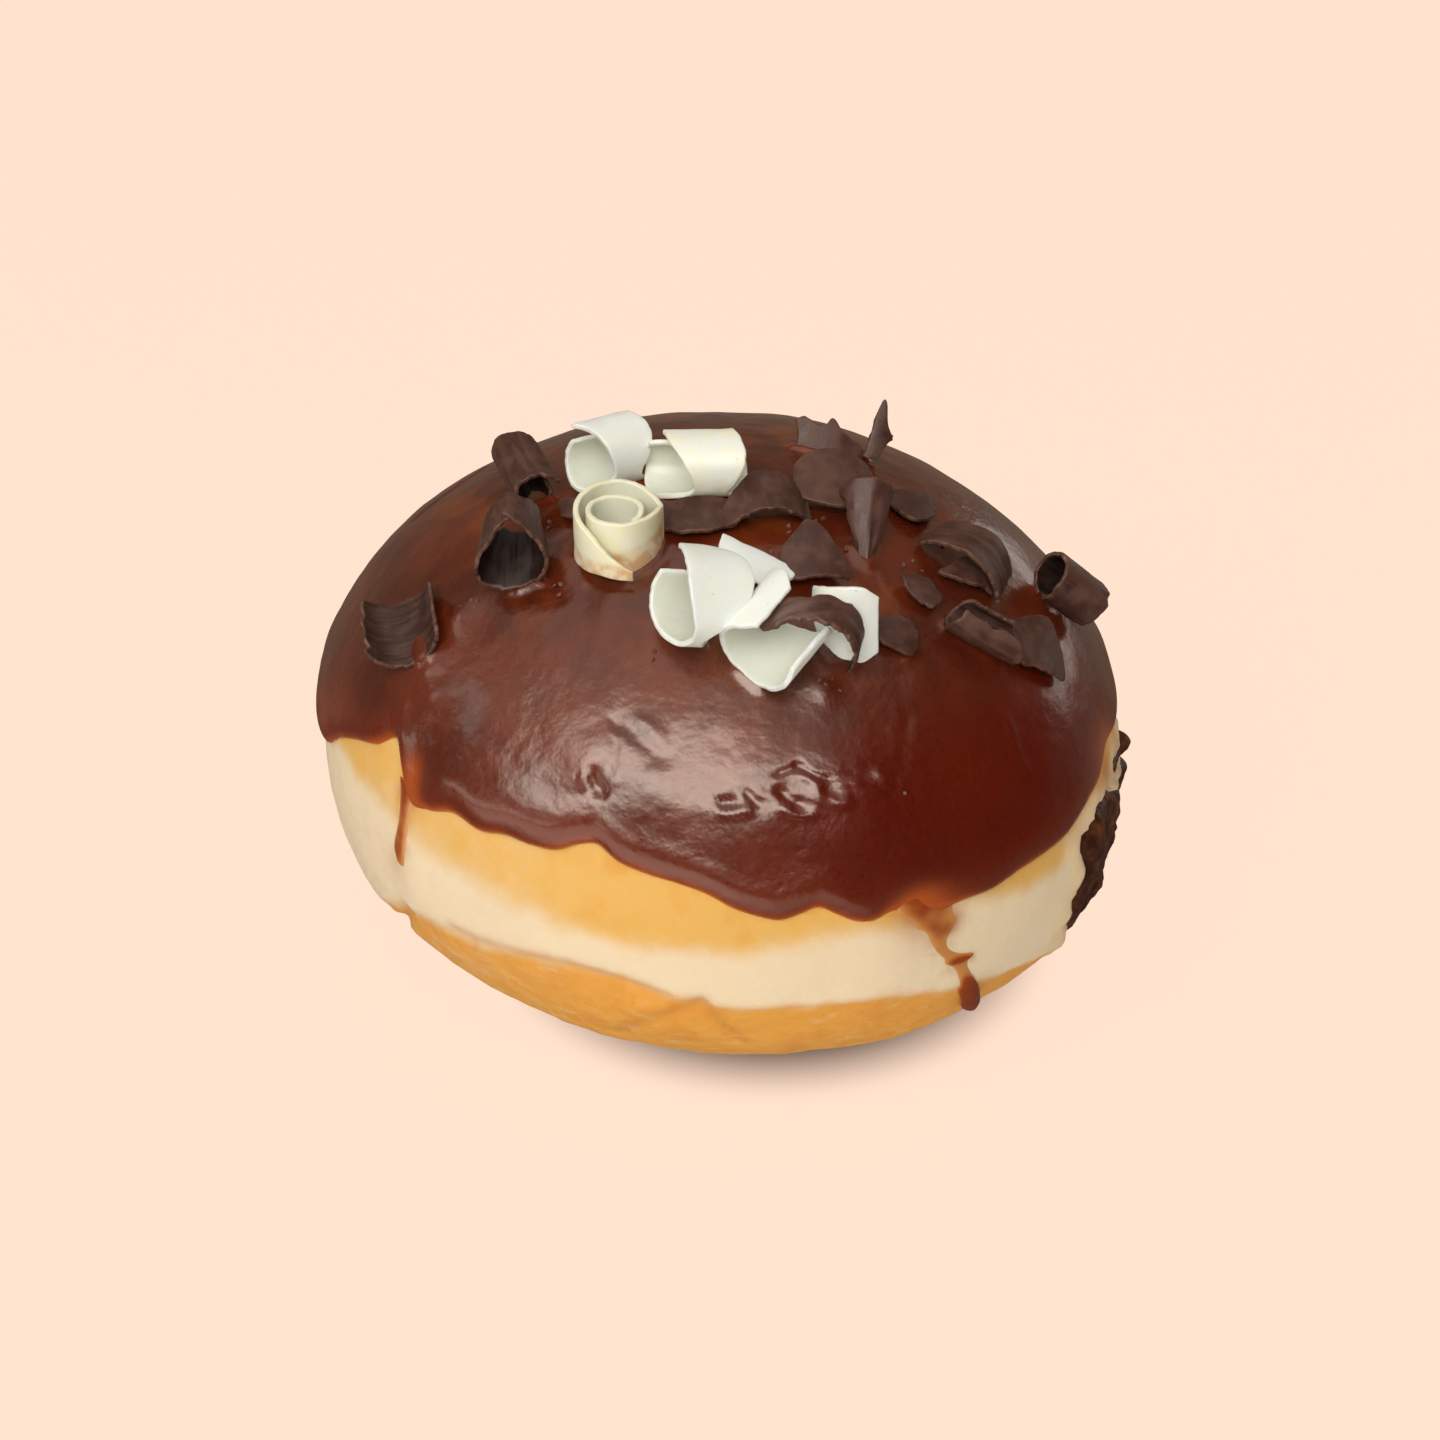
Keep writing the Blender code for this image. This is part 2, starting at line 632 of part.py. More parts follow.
def glaze_shell(name, over, under, material=None):
    """Returns the glaze between a height over its top face and one above the bun's skin."""
    azimuth = np.linspace(0, 360, GLAZE_SIDES, endpoint=False)
    edge = glaze_edge_angle(azimuth)
    rings = []
    for share in GLAZE_ROWS:
        down = edge * share
        rings.append(on_bun(down, azimuth, glaze_height(down, azimuth) + over))
    rings.append(on_bun(edge * GLAZE_BEAD_ROW, azimuth, GLAZE_BEAD_SHARE * GLAZE_THICKNESS + over))
    rings.append(on_bun(edge, azimuth, under + GLAZE_LIP))
    for share in GLAZE_ROWS[::-1]:
        rings.append(on_bun(edge * share, azimuth, under))
    top = on_bun(0, 0, glaze_height(0.0, 0.0) + over)
    return ringed_solid(name, top, rings, on_bun(0, 0, under), material)


def drip_solid(drip):
    """Returns a run of glaze that ends in a drop."""
    way = np.sin(np.linspace(0, math.pi / 2, DRIP_STAGES))[:, None]
    across = np.linspace(-1, 1, DRIP_COLUMNS)
    down = drip.start[1] + (drip.end[1] - drip.start[1]) * way
    azimuth = drip.start[0] + (drip.end[0] - drip.start[0]) * way
    in_drop = np.clip((way - DROP_STARTS) / DROP_OPENS_OVER, 0, 1)
    width = drip.neck + (drip.drop - drip.neck) * in_drop
    width = width * np.sqrt(np.clip(1 - way**DROP_ROUNDNESS, LEAST_DRIP_SHARE, 1))
    azimuth = azimuth + np.degrees(across * width / BUN_RADIUS)
    rise = (drip.thickness - GLAZE_GAP) * np.sqrt(1 + LEAST_DRIP_SHARE - across**2) * width / drip.drop
    return sheet_solid("drip", on_bun(down, azimuth, GLAZE_GAP), on_bun(down, azimuth, GLAZE_GAP + rise))


def make_glaze(material):
    """Returns the glaze with its drips."""
    glaze = glaze_shell("chocolate_glaze", 0.0, GLAZE_GAP, material)
    for drip in DRIPS:
        combine(glaze, drip_solid(drip), "UNION")
    tidy(glaze)
    return glaze


def shaving_frame(shaving):
    """Returns a shaving's axes, in columns, and the place on the glaze that it stands over."""
    normal = Vector(skin_normal(np.radians(shaving.down), np.radians(shaving.azimuth)))
    place = Vector(on_bun(shaving.down, shaving.azimuth, glaze_height(shaving.down, shaving.azimuth)))
    heading = math.radians(shaving.heading)
    level = Vector((math.cos(heading), math.sin(heading), 0))
    over = normal if shaving.flat else Vector((0, 0, 1))
    along = (level - over * level.dot(over)).normalized()
    axes = Matrix((along, over.cross(along), over)).transposed()
    axes = axes @ Matrix.Rotation(-math.radians(shaving.tilt), 3, "Y")
    return np.array(axes), np.array(place + normal * shaving.lift * MM)


def smooth_stages(stages):
    """Returns a shaving's stages with rounded ones between, each with its place along the sheet."""
    stages = np.array(stages, float)
    ends = np.vstack([2 * stages[0] - stages[1], stages, 2 * stages[-1] - stages[-2]])
    found = []
    for index in range(1, len(stages)):
        before, here, there, after = ends[index - 1 : index + 3]
        steps = max(1, round((there[0] - here[0]) / TURN_OF_A_FACE))
        for step in range(steps):
            way = step / steps
            curve = (2 * here - 2 * there + 0.5 * (there - before) + 0.5 * (after - here)) * way**3
            curve += (3 * there - 3 * here - (there - before) - 0.5 * (after - here)) * way**2
            curve += 0.5 * (there - before) * way + here
            curve[0] = here[0] + (there[0] - here[0]) * way
            found.append(curve)
    return np.array([*found, stages[-1]])


def shaving_solid(name, shaving, grow=0.0, material=None):
    """Returns a shaving, grown by a gap where it is to be a cutter."""
    turn, radius, back, front = smooth_stages(shaving.stages).T
    axes, place = shaving_frame(shaving)
    if shaving.flat:
        angle = np.radians(turn)
        across = radius * np.array([np.cos(angle), np.sin(angle)])
        middle = np.array([np.mean(back + front) / 2, *across.mean(axis=1)])
        place = place - axes @ middle * MM
    radius = radius * MM
    low = np.minimum(back, front - LEAST_STAGE_LENGTH) * MM - grow
    high = front * MM + grow
    angle = np.radians(turn) + np.linspace(-1, 1, len(turn)) * grow / radius
    columns = np.linspace(0, 1, SHAVING_COLUMNS)
    along = low[:, None] * (1 - columns) + high[:, None] * columns
    flared = radius[:, None] * (1 + shaving.flare * along / MM)
    walls = []
    for offset in (-SHAVING_THICKNESS / 2 - grow, SHAVING_THICKNESS / 2 + grow):
        y = (flared + offset) * np.cos(angle)[:, None]
        z = (flared + offset) * np.sin(angle)[:, None]
        walls.append(np.stack([along, y, z], axis=-1) @ axes.T + place)
    return sheet_solid(name, walls[0], walls[1], material)


def make_shavings(shavings, material):
    """Makes shavings that lie on the glaze, each cut to its face and clear of those it names."""
    every = {**WHITE_SHAVINGS, **DARK_SHAVINGS}
    for name, shaving in shavings.items():
        thing = shaving_solid(name, shaving, 0.0, material)
        combine(thing, glaze_shell("glaze_cutter", FIT_GAP, -CUTTER_DEPTH), "DIFFERENCE")
        for neighbour in shaving.clear_of:
            combine(thing, shaving_solid("gap", every[neighbour], FIT_GAP), "DIFFERENCE")
        tidy(thing)


def shade_round(thing):
    """Shades a solid smooth, apart from its sharp edges."""
    thing.data.shade_smooth()
    thing.data.set_sharp_from_angle(angle=math.radians(SHARP_ANGLE))


def main():
    """Builds the doughnut."""
    clear_scene()
    crust = finish("dough_crust", (0.76, 0.50, 0.20), 0.6)
    dark = finish("dark_shavings", (0.055, 0.028, 0.02), 0.5)
    white = finish("white_shavings", (0.84, 0.80, 0.64), 0.4)
    coat = finish("glaze_chocolate", (0.11, 0.03, 0.016), 0.2)
    cream = finish("filling_chocolate", (0.07, 0.03, 0.018), 0.45)
    dough = make_bun(crust)
    make_filling("chocolate_filling", 0.0, cream)
    combine(dough, make_filling("filling_cutter", FILLING_GAP), "DIFFERENCE")
    tidy(dough)
    make_glaze(coat)
    make_shavings(WHITE_SHAVINGS, white)
    make_shavings(DARK_SHAVINGS, dark)
    for thing in bpy.context.scene.objects:
        shade_round(thing)


if __name__ == "__main__":
    main()
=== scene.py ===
"""Looks of a filled doughnut with a chocolate glaze and chocolate curls.

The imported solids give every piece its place. Each visible surface is made again here as a fine mesh
on the same shapes: the bun, the glaze with its runs, the filling, the curls and the crumbs. Lengths
are in metres unless a name says otherwise. A place on the bun is given by two angles in degrees:
azimuth, from +X towards +Y, and down, from 0 at the top of the crown to 180 under the base.
"""

from __future__ import annotations

import logging
import math
from dataclasses import dataclass
from enum import Enum
from typing import Callable, Sequence, Union

import bpy
import numpy as np
from mathutils import Matrix, Vector
from mathutils.kdtree import KDTree


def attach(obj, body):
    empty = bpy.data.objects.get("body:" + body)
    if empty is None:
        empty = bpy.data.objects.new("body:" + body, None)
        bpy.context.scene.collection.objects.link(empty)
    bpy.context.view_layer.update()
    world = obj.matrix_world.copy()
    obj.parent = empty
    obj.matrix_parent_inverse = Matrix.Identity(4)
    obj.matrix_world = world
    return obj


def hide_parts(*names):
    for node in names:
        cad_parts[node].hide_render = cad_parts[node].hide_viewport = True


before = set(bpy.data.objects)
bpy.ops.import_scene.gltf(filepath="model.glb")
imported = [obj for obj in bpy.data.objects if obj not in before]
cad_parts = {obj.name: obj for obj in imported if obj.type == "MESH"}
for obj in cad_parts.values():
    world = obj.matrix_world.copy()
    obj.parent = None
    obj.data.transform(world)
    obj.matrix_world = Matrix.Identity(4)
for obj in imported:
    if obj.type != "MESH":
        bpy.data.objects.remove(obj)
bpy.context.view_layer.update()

MM = 0.001
LOG = logging.getLogger("doughnut")
Colour = tuple[float, float, float]
Socket = Union[bpy.types.NodeSocket, float]


class Slot(Enum):
    """The record's material slots."""

    DOUGH = "dough"
    FILLING = "chocolate_filling"
    GLAZE = "chocolate_glaze"
    WHITE = "white_chocolate"
    DARK = "dark_chocolate"


class Kind(Enum):
    """How a shaving lies: a roll with its axis in the air, or a sheet along the glaze."""

    ROLLED = "rolled"
    FLAT = "flat"


class Ribs(Enum):
    """Which way the scraper's marks run on a shaving."""

    NONE = "none"
    ALONG = "along"
    ROUND = "round"


class Noise:
    """Smooth random lumps in space, the same at each run."""

    CELLS = 32
    OCTAVE_SHIFT = 7.3

    def __init__(self, seed: int) -> None:
        """Fills the lattice.

        Args:
            seed: Number that fixes the lumps.
        """
        self.lattice = np.random.default_rng(seed).uniform(-1, 1, (self.CELLS,) * 3)

    def at(self, points: np.ndarray, size: float, octaves: int = 1) -> np.ndarray:
        """Returns lump heights of about -1 to 1.

        Args:
            points: Places, with x, y, z last.
            size: Distance from lump to lump.
            octaves: How many finer layers are added, each half as large and half as high.

        Returns:
            One height for each place.
        """
        total = np.zeros(points.shape[:-1])
        strength = 1.0
        for octave in range(octaves):
            scaled = points / (size / 2**octave) + self.OCTAVE_SHIFT * octave
            cell = np.floor(scaled).astype(int)
            share = scaled - cell
            share = share * share * (3 - 2 * share)
            value = np.zeros(points.shape[:-1])
            for corner in np.ndindex(2, 2, 2):
                weight = np.prod(np.where(corner, share, 1 - share), axis=-1)
                x, y, z = np.moveaxis((cell + corner) % self.CELLS, -1, 0)
                value += weight * self.lattice[x, y, z]
            total += value * strength
            strength /= 2
        return total


def smooth_step(value: np.ndarray, low: float, high: float) -> np.ndarray:
    """Returns 0 below low, 1 above high and a soft rise between."""
    share = np.clip((np.asarray(value) - low) / (high - low), 0, 1)
    return share * share * (3 - 2 * share)


def bell(value: np.ndarray) -> np.ndarray:
    """Returns a bell curve that is 1 at 0."""
    return np.exp(-(np.asarray(value) ** 2))


def turned(azimuth: np.ndarray) -> np.ndarray:
    """Returns azimuths in degrees as the same ones from -180 to 180."""
    return (np.asarray(azimuth) + 180) % 360 - 180


def curve_through(at: np.ndarray, value: np.ndarray, where: np.ndarray) -> np.ndarray:
    """Returns values on a smooth curve through given ones.

    Args:
        at: Rising places of the given values.
        value: The given values.
        where: Places to find values at.

    Returns:
        The curve's values.
    """
    slope = np.gradient(value, at)
    which = np.clip(np.searchsorted(at, where, side="right") - 1, 0, len(at) - 2)
    span = at[which + 1] - at[which]
    t = np.clip((where - at[which]) / span, 0, 1)
    start = (1 + 2 * t) * (1 - t) ** 2 * value[which] + t * (1 - t) ** 2 * span * slope[which]
    end = t * t * (3 - 2 * t) * value[which + 1] + t * t * (t - 1) * span * slope[which + 1]
    return start + end


def round_curve(table: Sequence[tuple[float, float]], azimuth: np.ndarray) -> np.ndarray:
    """Returns values of a table of (azimuth, value) that goes right round the bun.

    Args:
        table: Pairs in order of azimuth, from -180.
        azimuth: Azimuths in degrees.

    Returns:
        Smoothly joined values.
    """
    at, value = np.array(table).T
    at = np.concatenate([at[-3:] - 360, at, at[:3] + 360])
    value = np.concatenate([value[-3:], value, value[:3]])
    return curve_through(at, value, turned(azimuth))


def levels(table: Sequence[tuple[float, float]]) -> tuple[tuple[float, float], ...]:
    """Returns a table of (azimuth, level in mm) with its levels in metres."""
    return tuple((azimuth, level * MM) for azimuth, level in table)


def smooth_between(stages: np.ndarray, count: Callable[[np.ndarray, np.ndarray], int]) -> np.ndarray:
    """Returns stages with more of them between, on smooth curves through the given ones.

    Args:
        stages: Rows of values. The first value of a row runs evenly from stage to stage.
        count: Gives the number of steps from one stage to the next.

    Returns:
        The rows.
    """
    rows = np.vstack([2 * stages[0] - stages[1], stages, 2 * stages[-1] - stages[-2]])
    found = []
    for before, here, there, after in zip(rows, rows[1:], rows[2:], rows[3:]):
        steps = count(here, there)
        for way in np.arange(steps) / steps:
            curve = (2 * here - 2 * there + 0.5 * (there - before) + 0.5 * (after - here)) * way**3
            curve += (3 * there - 3 * here - (there - before) - 0.5 * (after - here)) * way**2
            curve += 0.5 * (there - before) * way + here
            curve[0] = here[0] + (there[0] - here[0]) * way
            found.append(curve)
    return np.array([*found, stages[-1]])


@dataclass(frozen=True)
class Bun:
    """The bun's outer shape."""

    radius: float = 45.0 * MM
    crown_height: float = 33.6 * MM
    crown_shrink: float = 0.9 * MM
    keel_depth: float = 27.7 * MM
    base_cut: float = 1.2 * MM
    crown_power: float = 2.13
    keel_power: float = 2.45
    oval: float = 0.03
    oval_azimuth: float = -28.0
    lean: float = -0.055
    crown_slope: float = 0.026
    keel_slope: float = 0.055

    @property
    def widest_level(self) -> float:
        """Height of the widest level over the floor."""
        return self.keel_depth - self.base_cut

    def profile(self, down: np.ndarray, azimuth: np.ndarray) -> np.ndarray:
        """Returns points of the skin at angles in radians."""
        crown = down <= math.pi / 2
        power = np.where(crown, self.crown_power, self.keel_power)
        reach = self.radius * np.abs(np.sin(down)) ** (2 / power)
        reach = reach - self.crown_shrink * np.where(crown, np.sin(down) * (1 - np.sin(down) ** 8), 0)
        rise = np.where(crown, self.crown_height, -self.keel_depth) * np.abs(np.cos(down)) ** (2 / power)
        reach = reach * (1 + self.oval * np.cos(2 * (azimuth - math.radians(self.oval_azimuth))))
        x = reach * np.cos(azimuth)
        y = reach * np.sin(azimuth)
        rise = rise * (1 + np.where(crown, self.crown_slope, self.keel_slope) * x / self.radius)
        return np.stack([x + self.lean * rise, y, rise + self.widest_level], axis=-1)

    def normal(self, down: np.ndarray, azimuth: np.ndarray) -> np.ndarray:
        """Returns outward normals at angles in radians."""
        step = 0.004
        pole = 0.02
        down = np.clip(down, pole, math.pi - pole)
        along = self.profile(down + step, azimuth) - self.profile(down - step, azimuth)
        round_it = self.profile(down, azimuth + step) - self.profile(down, azimuth - step)
        normal = np.cross(along, round_it)
        return normal / np.linalg.norm(normal, axis=-1, keepdims=True)

    def on(self, down: np.ndarray, azimuth: np.ndarray, height: np.ndarray = 0.0) -> np.ndarray:
        """Returns points at a height over the skin, at angles in degrees."""
        down, azimuth, height = np.broadcast_arrays(np.radians(down), np.radians(azimuth), height)
        return self.profile(down, azimuth) + self.normal(down, azimuth) * height[..., None]

    def down_at_level(self, level: np.ndarray) -> np.ndarray:
        """Returns the down angle of a level over (or, if negative, under) the widest one."""
        level = np.asarray(level)
        crown = np.degrees(np.arccos((np.clip(level, 0, None) / self.crown_height) ** (self.crown_power / 2)))
        keel = np.degrees(np.arccos((np.clip(-level, 0, None) / self.keel_depth) ** (self.keel_power / 2)))
        return np.where(level >= 0, crown, 180 - keel)


BUN = Bun()


@dataclass(frozen=True)
class Lumps:
    """Random lumps over a surface: their spacing, height, number of layers and a shift."""

    size: float
    height: float
    octaves: int = 1
    shift: float = 0.0

    def over(self, noise: Noise, points: np.ndarray) -> np.ndarray:
        """Returns the lumps' heights at points."""
        return self.height * noise.at(points + self.shift, self.size, self.octaves)

    def sway(self, noise: Noise, points: np.ndarray, apart: float) -> np.ndarray:
        """Returns shifts of points in x, y and z, from lumps a distance apart in the noise."""
        shifted = [self.over(noise, points + apart * axis) for axis in range(3)]
        return np.stack(shifted, axis=-1)


@dataclass(frozen=True)
class Zone:
    """A zone round an azimuth that starts at one down angle and is full at another."""

    azimuth: float
    spread: float
    start: float
    full: float
    strength: float = 1.0

    def share(self, down: np.ndarray, azimuth: np.ndarray) -> np.ndarray:
        """Returns how far places are in the zone, from 0 to its strength."""
        near = bell((turned(azimuth) - self.azimuth) / self.spread)
        return self.strength * near * smooth_step(down, self.start, self.full)


@dataclass(frozen=True)
class Line:
    """A narrow ridge or groove along a path of (azimuth, down)."""

    path: tuple[tuple[float, float], ...]
    width: float
    height: float

    def nearness(self, points: np.ndarray, height: float) -> np.ndarray:
        """Returns a bell across the line for places at a height over the skin.

        Args:
            points: Places, with x, y, z last.
            height: Height of the path over the skin.

        Returns:
            1 on the line, and near 0 two widths away.
        """
        azimuth, down = np.array(self.path).T
        corners = BUN.on(down, azimuth, height)
        nearest = np.full(points.shape[:-1], np.inf)
        box_low = corners.min(axis=0) - 3 * self.width
        box_high = corners.max(axis=0) + 3 * self.width
        close = np.all((points > box_low) & (points < box_high), axis=-1)
        chosen = points[close]
        best = np.full(len(chosen), np.inf)
        for start, end in zip(corners[:-1], corners[1:]):
            way = end - start
            share = np.clip((chosen - start) @ way / (way @ way), 0, 1)
            best = np.minimum(best, np.linalg.norm(chosen - start - share[:, None] * way, axis=-1))
        nearest[close] = best
        return bell(nearest / self.width)


@dataclass(frozen=True)
class Swell:
    """A soft rise or hollow."""

    azimuth: float
    down: float
    radius: float
    height: float

    def nearness(self, points: np.ndarray) -> np.ndarray:
        """Returns a bell round the swell's middle."""
        reach = np.linalg.norm(points - BUN.on(self.down, self.azimuth), axis=-1)
        return bell(reach / self.radius)


def make_piece(
    name: str, points: np.ndarray, faces: Sequence, layers: dict[str, np.ndarray]
) -> bpy.types.Object:
    """Returns a smooth mesh object with named values at its points.

    Args:
        name: The piece's name.
        points: Corner places.
        faces: Corner numbers of each face.
        layers: Values for each corner, by the name that the finish reads them by.

    Returns:
        The new object.
    """
    mesh = bpy.data.meshes.new(name)
    mesh.from_pydata(points.tolist(), [], [list(face) for face in faces])
    for layer, values in layers.items():
        store = mesh.attributes.new(layer, "FLOAT", "POINT")
        store.data.foreach_set("value", np.asarray(values, np.float32).ravel())
    mesh.shade_smooth()
    thing = bpy.data.objects.new(name, mesh)
    bpy.context.scene.collection.objects.link(thing)
    return thing


def ring_faces(rings: int, sides: int) -> list[tuple[int, ...]]:
    """Returns the faces of a closed shell: a first point, rings of points, and a last point."""
    faces: list[tuple[int, ...]] = []
    side = np.arange(sides)
    after = (side + 1) % sides
    faces.extend(zip(np.zeros(sides, int).tolist(), (1 + side).tolist(), (1 + after).tolist()))
    for row in range(rings - 1):
        here = 1 + row * sides
        quads = np.stack([here + side, here + sides + side, here + sides + after, here + after], axis=-1)
        faces.extend(map(tuple, quads.tolist()))
    end = 1 + (rings - 1) * sides
    last = np.full(sides, 1 + rings * sides)
    faces.extend(map(tuple, np.stack([end + side, last, end + after], axis=-1).tolist()))
    return faces


def sheet_faces(rows: int, columns: int) -> list[tuple[int, ...]]:
    """Returns the faces of a closed shell between an inner and an outer grid of points."""
    over = rows * columns
    row, column = np.meshgrid(np.arange(rows - 1), np.arange(columns - 1), indexing="ij")
    here = (row * columns + column).ravel()
    quads = np.stack([here, here + 1, here + columns + 1, here + columns], axis=-1)
    faces = [tuple(face) for face in quads[:, ::-1].tolist()]
    faces += [tuple(face) for face in (quads + over).tolist()]
    border = list(range(columns))
    border += [row * columns + columns - 1 for row in range(1, rows)]
    border += [(rows - 1) * columns + column for column in range(columns - 2, -1, -1)]
    border += [row * columns for row in range(rows - 2, 0, -1)]
    for first, second in zip(border, border[1:] + border[:1]):
        faces.append((first, second, over + second, over + first))
    return faces


class Nodes:
    """A node tree and short ways to add nodes to it."""

    def __init__(self, tree: bpy.types.NodeTree) -> None:
        """Keeps the tree's nodes and links."""
        self.nodes = tree.nodes
        self.links = tree.links

    def add(self, kind: str, inputs: dict[str | int, object], **settings: object) -> bpy.types.Node:
        """Adds a node.

        Args:
            kind: The node's type.
            inputs: Values or other nodes' sockets for its inputs.
            settings: Values of its properties.

        Returns:
            The node.
        """
        node = self.nodes.new(kind)
        for name, value in settings.items():
            setattr(node, name, value)
        for name, value in inputs.items():
            self.put(node, name, value)
        return node

    def put(self, node: bpy.types.Node, name: str | int, value: object) -> None:
        """Sets one input of a node to a value or links it to a socket."""
        if isinstance(value, bpy.types.NodeSocket):
            self.links.new(value, node.inputs[name])
        elif isinstance(value, tuple) and len(value) == 3 and node.inputs[name].type == "RGBA":
            node.inputs[name].default_value = (*value, 1.0)
        else:
            node.inputs[name].default_value = value

    def rise(
        self, value: Socket, low: float, high: float, start: float = 0.0, end: float = 1.0
    ) -> bpy.types.NodeSocket:
        """Returns a value mapped softly from low to high onto start to end."""
        ends = {"Value": value, "From Min": low, "From Max": high, "To Min": start, "To Max": end}
        return self.add("ShaderNodeMapRange", ends, interpolation_type="SMOOTHSTEP").outputs["Result"]

    def times(self, first: Socket, second: Socket) -> bpy.types.NodeSocket:
        """Returns the product of two values."""
        return self.add("ShaderNodeMath", {0: first, 1: second}, operation="MULTIPLY").outputs[0]

    def plus(self, first: Socket, second: Socket) -> bpy.types.NodeSocket:
        """Returns the sum of two values."""
        return self.add("ShaderNodeMath", {0: first, 1: second}, operation="ADD").outputs[0]

    def blend(self, share: Socket, first: object, second: object) -> bpy.types.NodeSocket:
        """Returns a colour between two colours."""
        return self.add("ShaderNodeMix", {0: share, 6: first, 7: second}, data_type="RGBA").outputs[2]


class Graph(Nodes):
    """A material with one shader."""

    def __init__(self, name: str) -> None:
        """Makes the material."""
        self.material = bpy.data.materials.new(name)
        self.material.use_nodes = True
        super().__init__(self.material.node_tree)
        self.shader = self.nodes["Principled BSDF"]

    def set(self, **inputs: object) -> None:
        """Sets inputs of the shader, named with _ for a space."""
        for name, value in inputs.items():
            self.put(self.shader, name.replace("_", " "), value)

    def layer(self, name: str) -> bpy.types.NodeSocket:
        """Returns a named value of the mesh."""
        return self.add("ShaderNodeAttribute", {}, attribute_name=name).outputs["Fac"]

    def place(self) -> bpy.types.NodeSocket:
        """Returns the place in the object's own space."""
        return self.add("ShaderNodeTexCoord", {}).outputs["Object"]

    def grain(self, size: float, detail: float, stretch: Colour = (1.0, 1.0, 1.0)) -> bpy.types.NodeSocket:
        """Returns a noise of 0 to 1.

        Args:
            size: Distance from one grain to the next.
            detail: How many finer layers are added.
            stretch: Factors on the coordinates, for grain that runs one way.

        Returns:
            The noise's socket.
        """
        at = self.add("ShaderNodeVectorMath", {0: self.place(), 1: stretch}, operation="MULTIPLY").outputs[0]
        noise = self.add("ShaderNodeTexNoise", {"Vector": at, "Scale": 1 / size, "Detail": detail})
        return noise.outputs["Fac"]

    def bump(self, height: Socket, depth: float, under: Socket | None = None) -> bpy.types.NodeSocket:
        """Returns normals of a relief of a depth, over another relief if given."""
        node = self.add("ShaderNodeBump", {"Height": height, "Distance": depth})
        if under is not None:
            self.put(node, "Normal", under)
        return node.outputs["Normal"]


@dataclass(frozen=True)
class DoughFinish:
    """Fried yeast dough: golden under the glaze, a pale band, and a browner crust below."""

    golden: Colour = (0.77, 0.440, 0.100)
    orange: Colour = (0.74, 0.34, 0.045)
    pale: Colour = (0.84, 0.68, 0.46)
    crust: Colour = (0.79, 0.355, 0.047)
    deep_crust: Colour = (0.70, 0.255, 0.026)
    brown: Colour = (0.52, 0.20, 0.027)
    torn: Colour = (0.80, 0.60, 0.36)
    stain: Colour = (0.42, 0.11, 0.008)

    def material(self) -> bpy.types.Material:
        """Returns the dough's material."""
        g = Graph("dough_skin")
        mottle = g.grain(4.5 * MM, 3.0)
        fine = g.grain(0.9 * MM, 3.0)
        upper = g.plus(g.layer("golden"), g.rise(mottle, 0.3, 0.7, -0.12, 0.12))
        colour = g.blend(g.rise(upper, 0.05, 0.95), self.pale, self.golden)
        colour = g.blend(g.rise(g.times(upper, mottle), 0.45, 0.75, 0.0, 0.6), colour, self.orange)
        lower = g.plus(g.layer("crust"), g.rise(mottle, 0.3, 0.7, -0.1, 0.1))
        colour = g.blend(g.rise(lower, 0.1, 0.9), colour, self.crust)
        blotch = g.rise(g.grain(5.0 * MM, 4.0), 0.48, 0.68, 0.0, 0.5)
        colour = g.blend(g.times(blotch, g.layer("crust")), colour, self.deep_crust)
        wisp = g.rise(g.grain(2.2 * MM, 3.0, (0.6, 0.6, 1.6)), 0.58, 0.75, 0.0, 0.30)
        colour = g.blend(g.times(wisp, g.layer("crust")), colour, self.pale)
        colour = g.blend(g.layer("torn"), colour, self.torn)
        colour = g.blend(g.layer("stain"), colour, self.stain)
        # Painted shade: the creases are darkened towards brown
        colour = g.blend(g.layer("crease"), colour, self.brown)
        speck = g.rise(g.grain(1.6 * MM, 4.0), 0.62, 0.75, 0.0, 0.35)
        colour = g.blend(g.times(speck, g.layer("crust")), colour, self.brown)
        colour = g.blend(g.rise(fine, 0.35, 0.7, 0.035, 0.0), colour, self.brown)
        g.set(Base_Color=colour, Roughness=g.rise(fine, 0.3, 0.7, 0.42, 0.62))
        g.set(Subsurface_Weight=0.2, Subsurface_Radius=(1.0, 0.5, 0.22), Subsurface_Scale=2.0 * MM)
        g.set(Specular_IOR_Level=0.35)
        pores = g.bump(g.grain(0.5 * MM, 2.0), 0.025 * MM)
        g.set(Normal=g.bump(g.grain(1.8 * MM, 2.0), 0.07 * MM, pores))
        return g.material


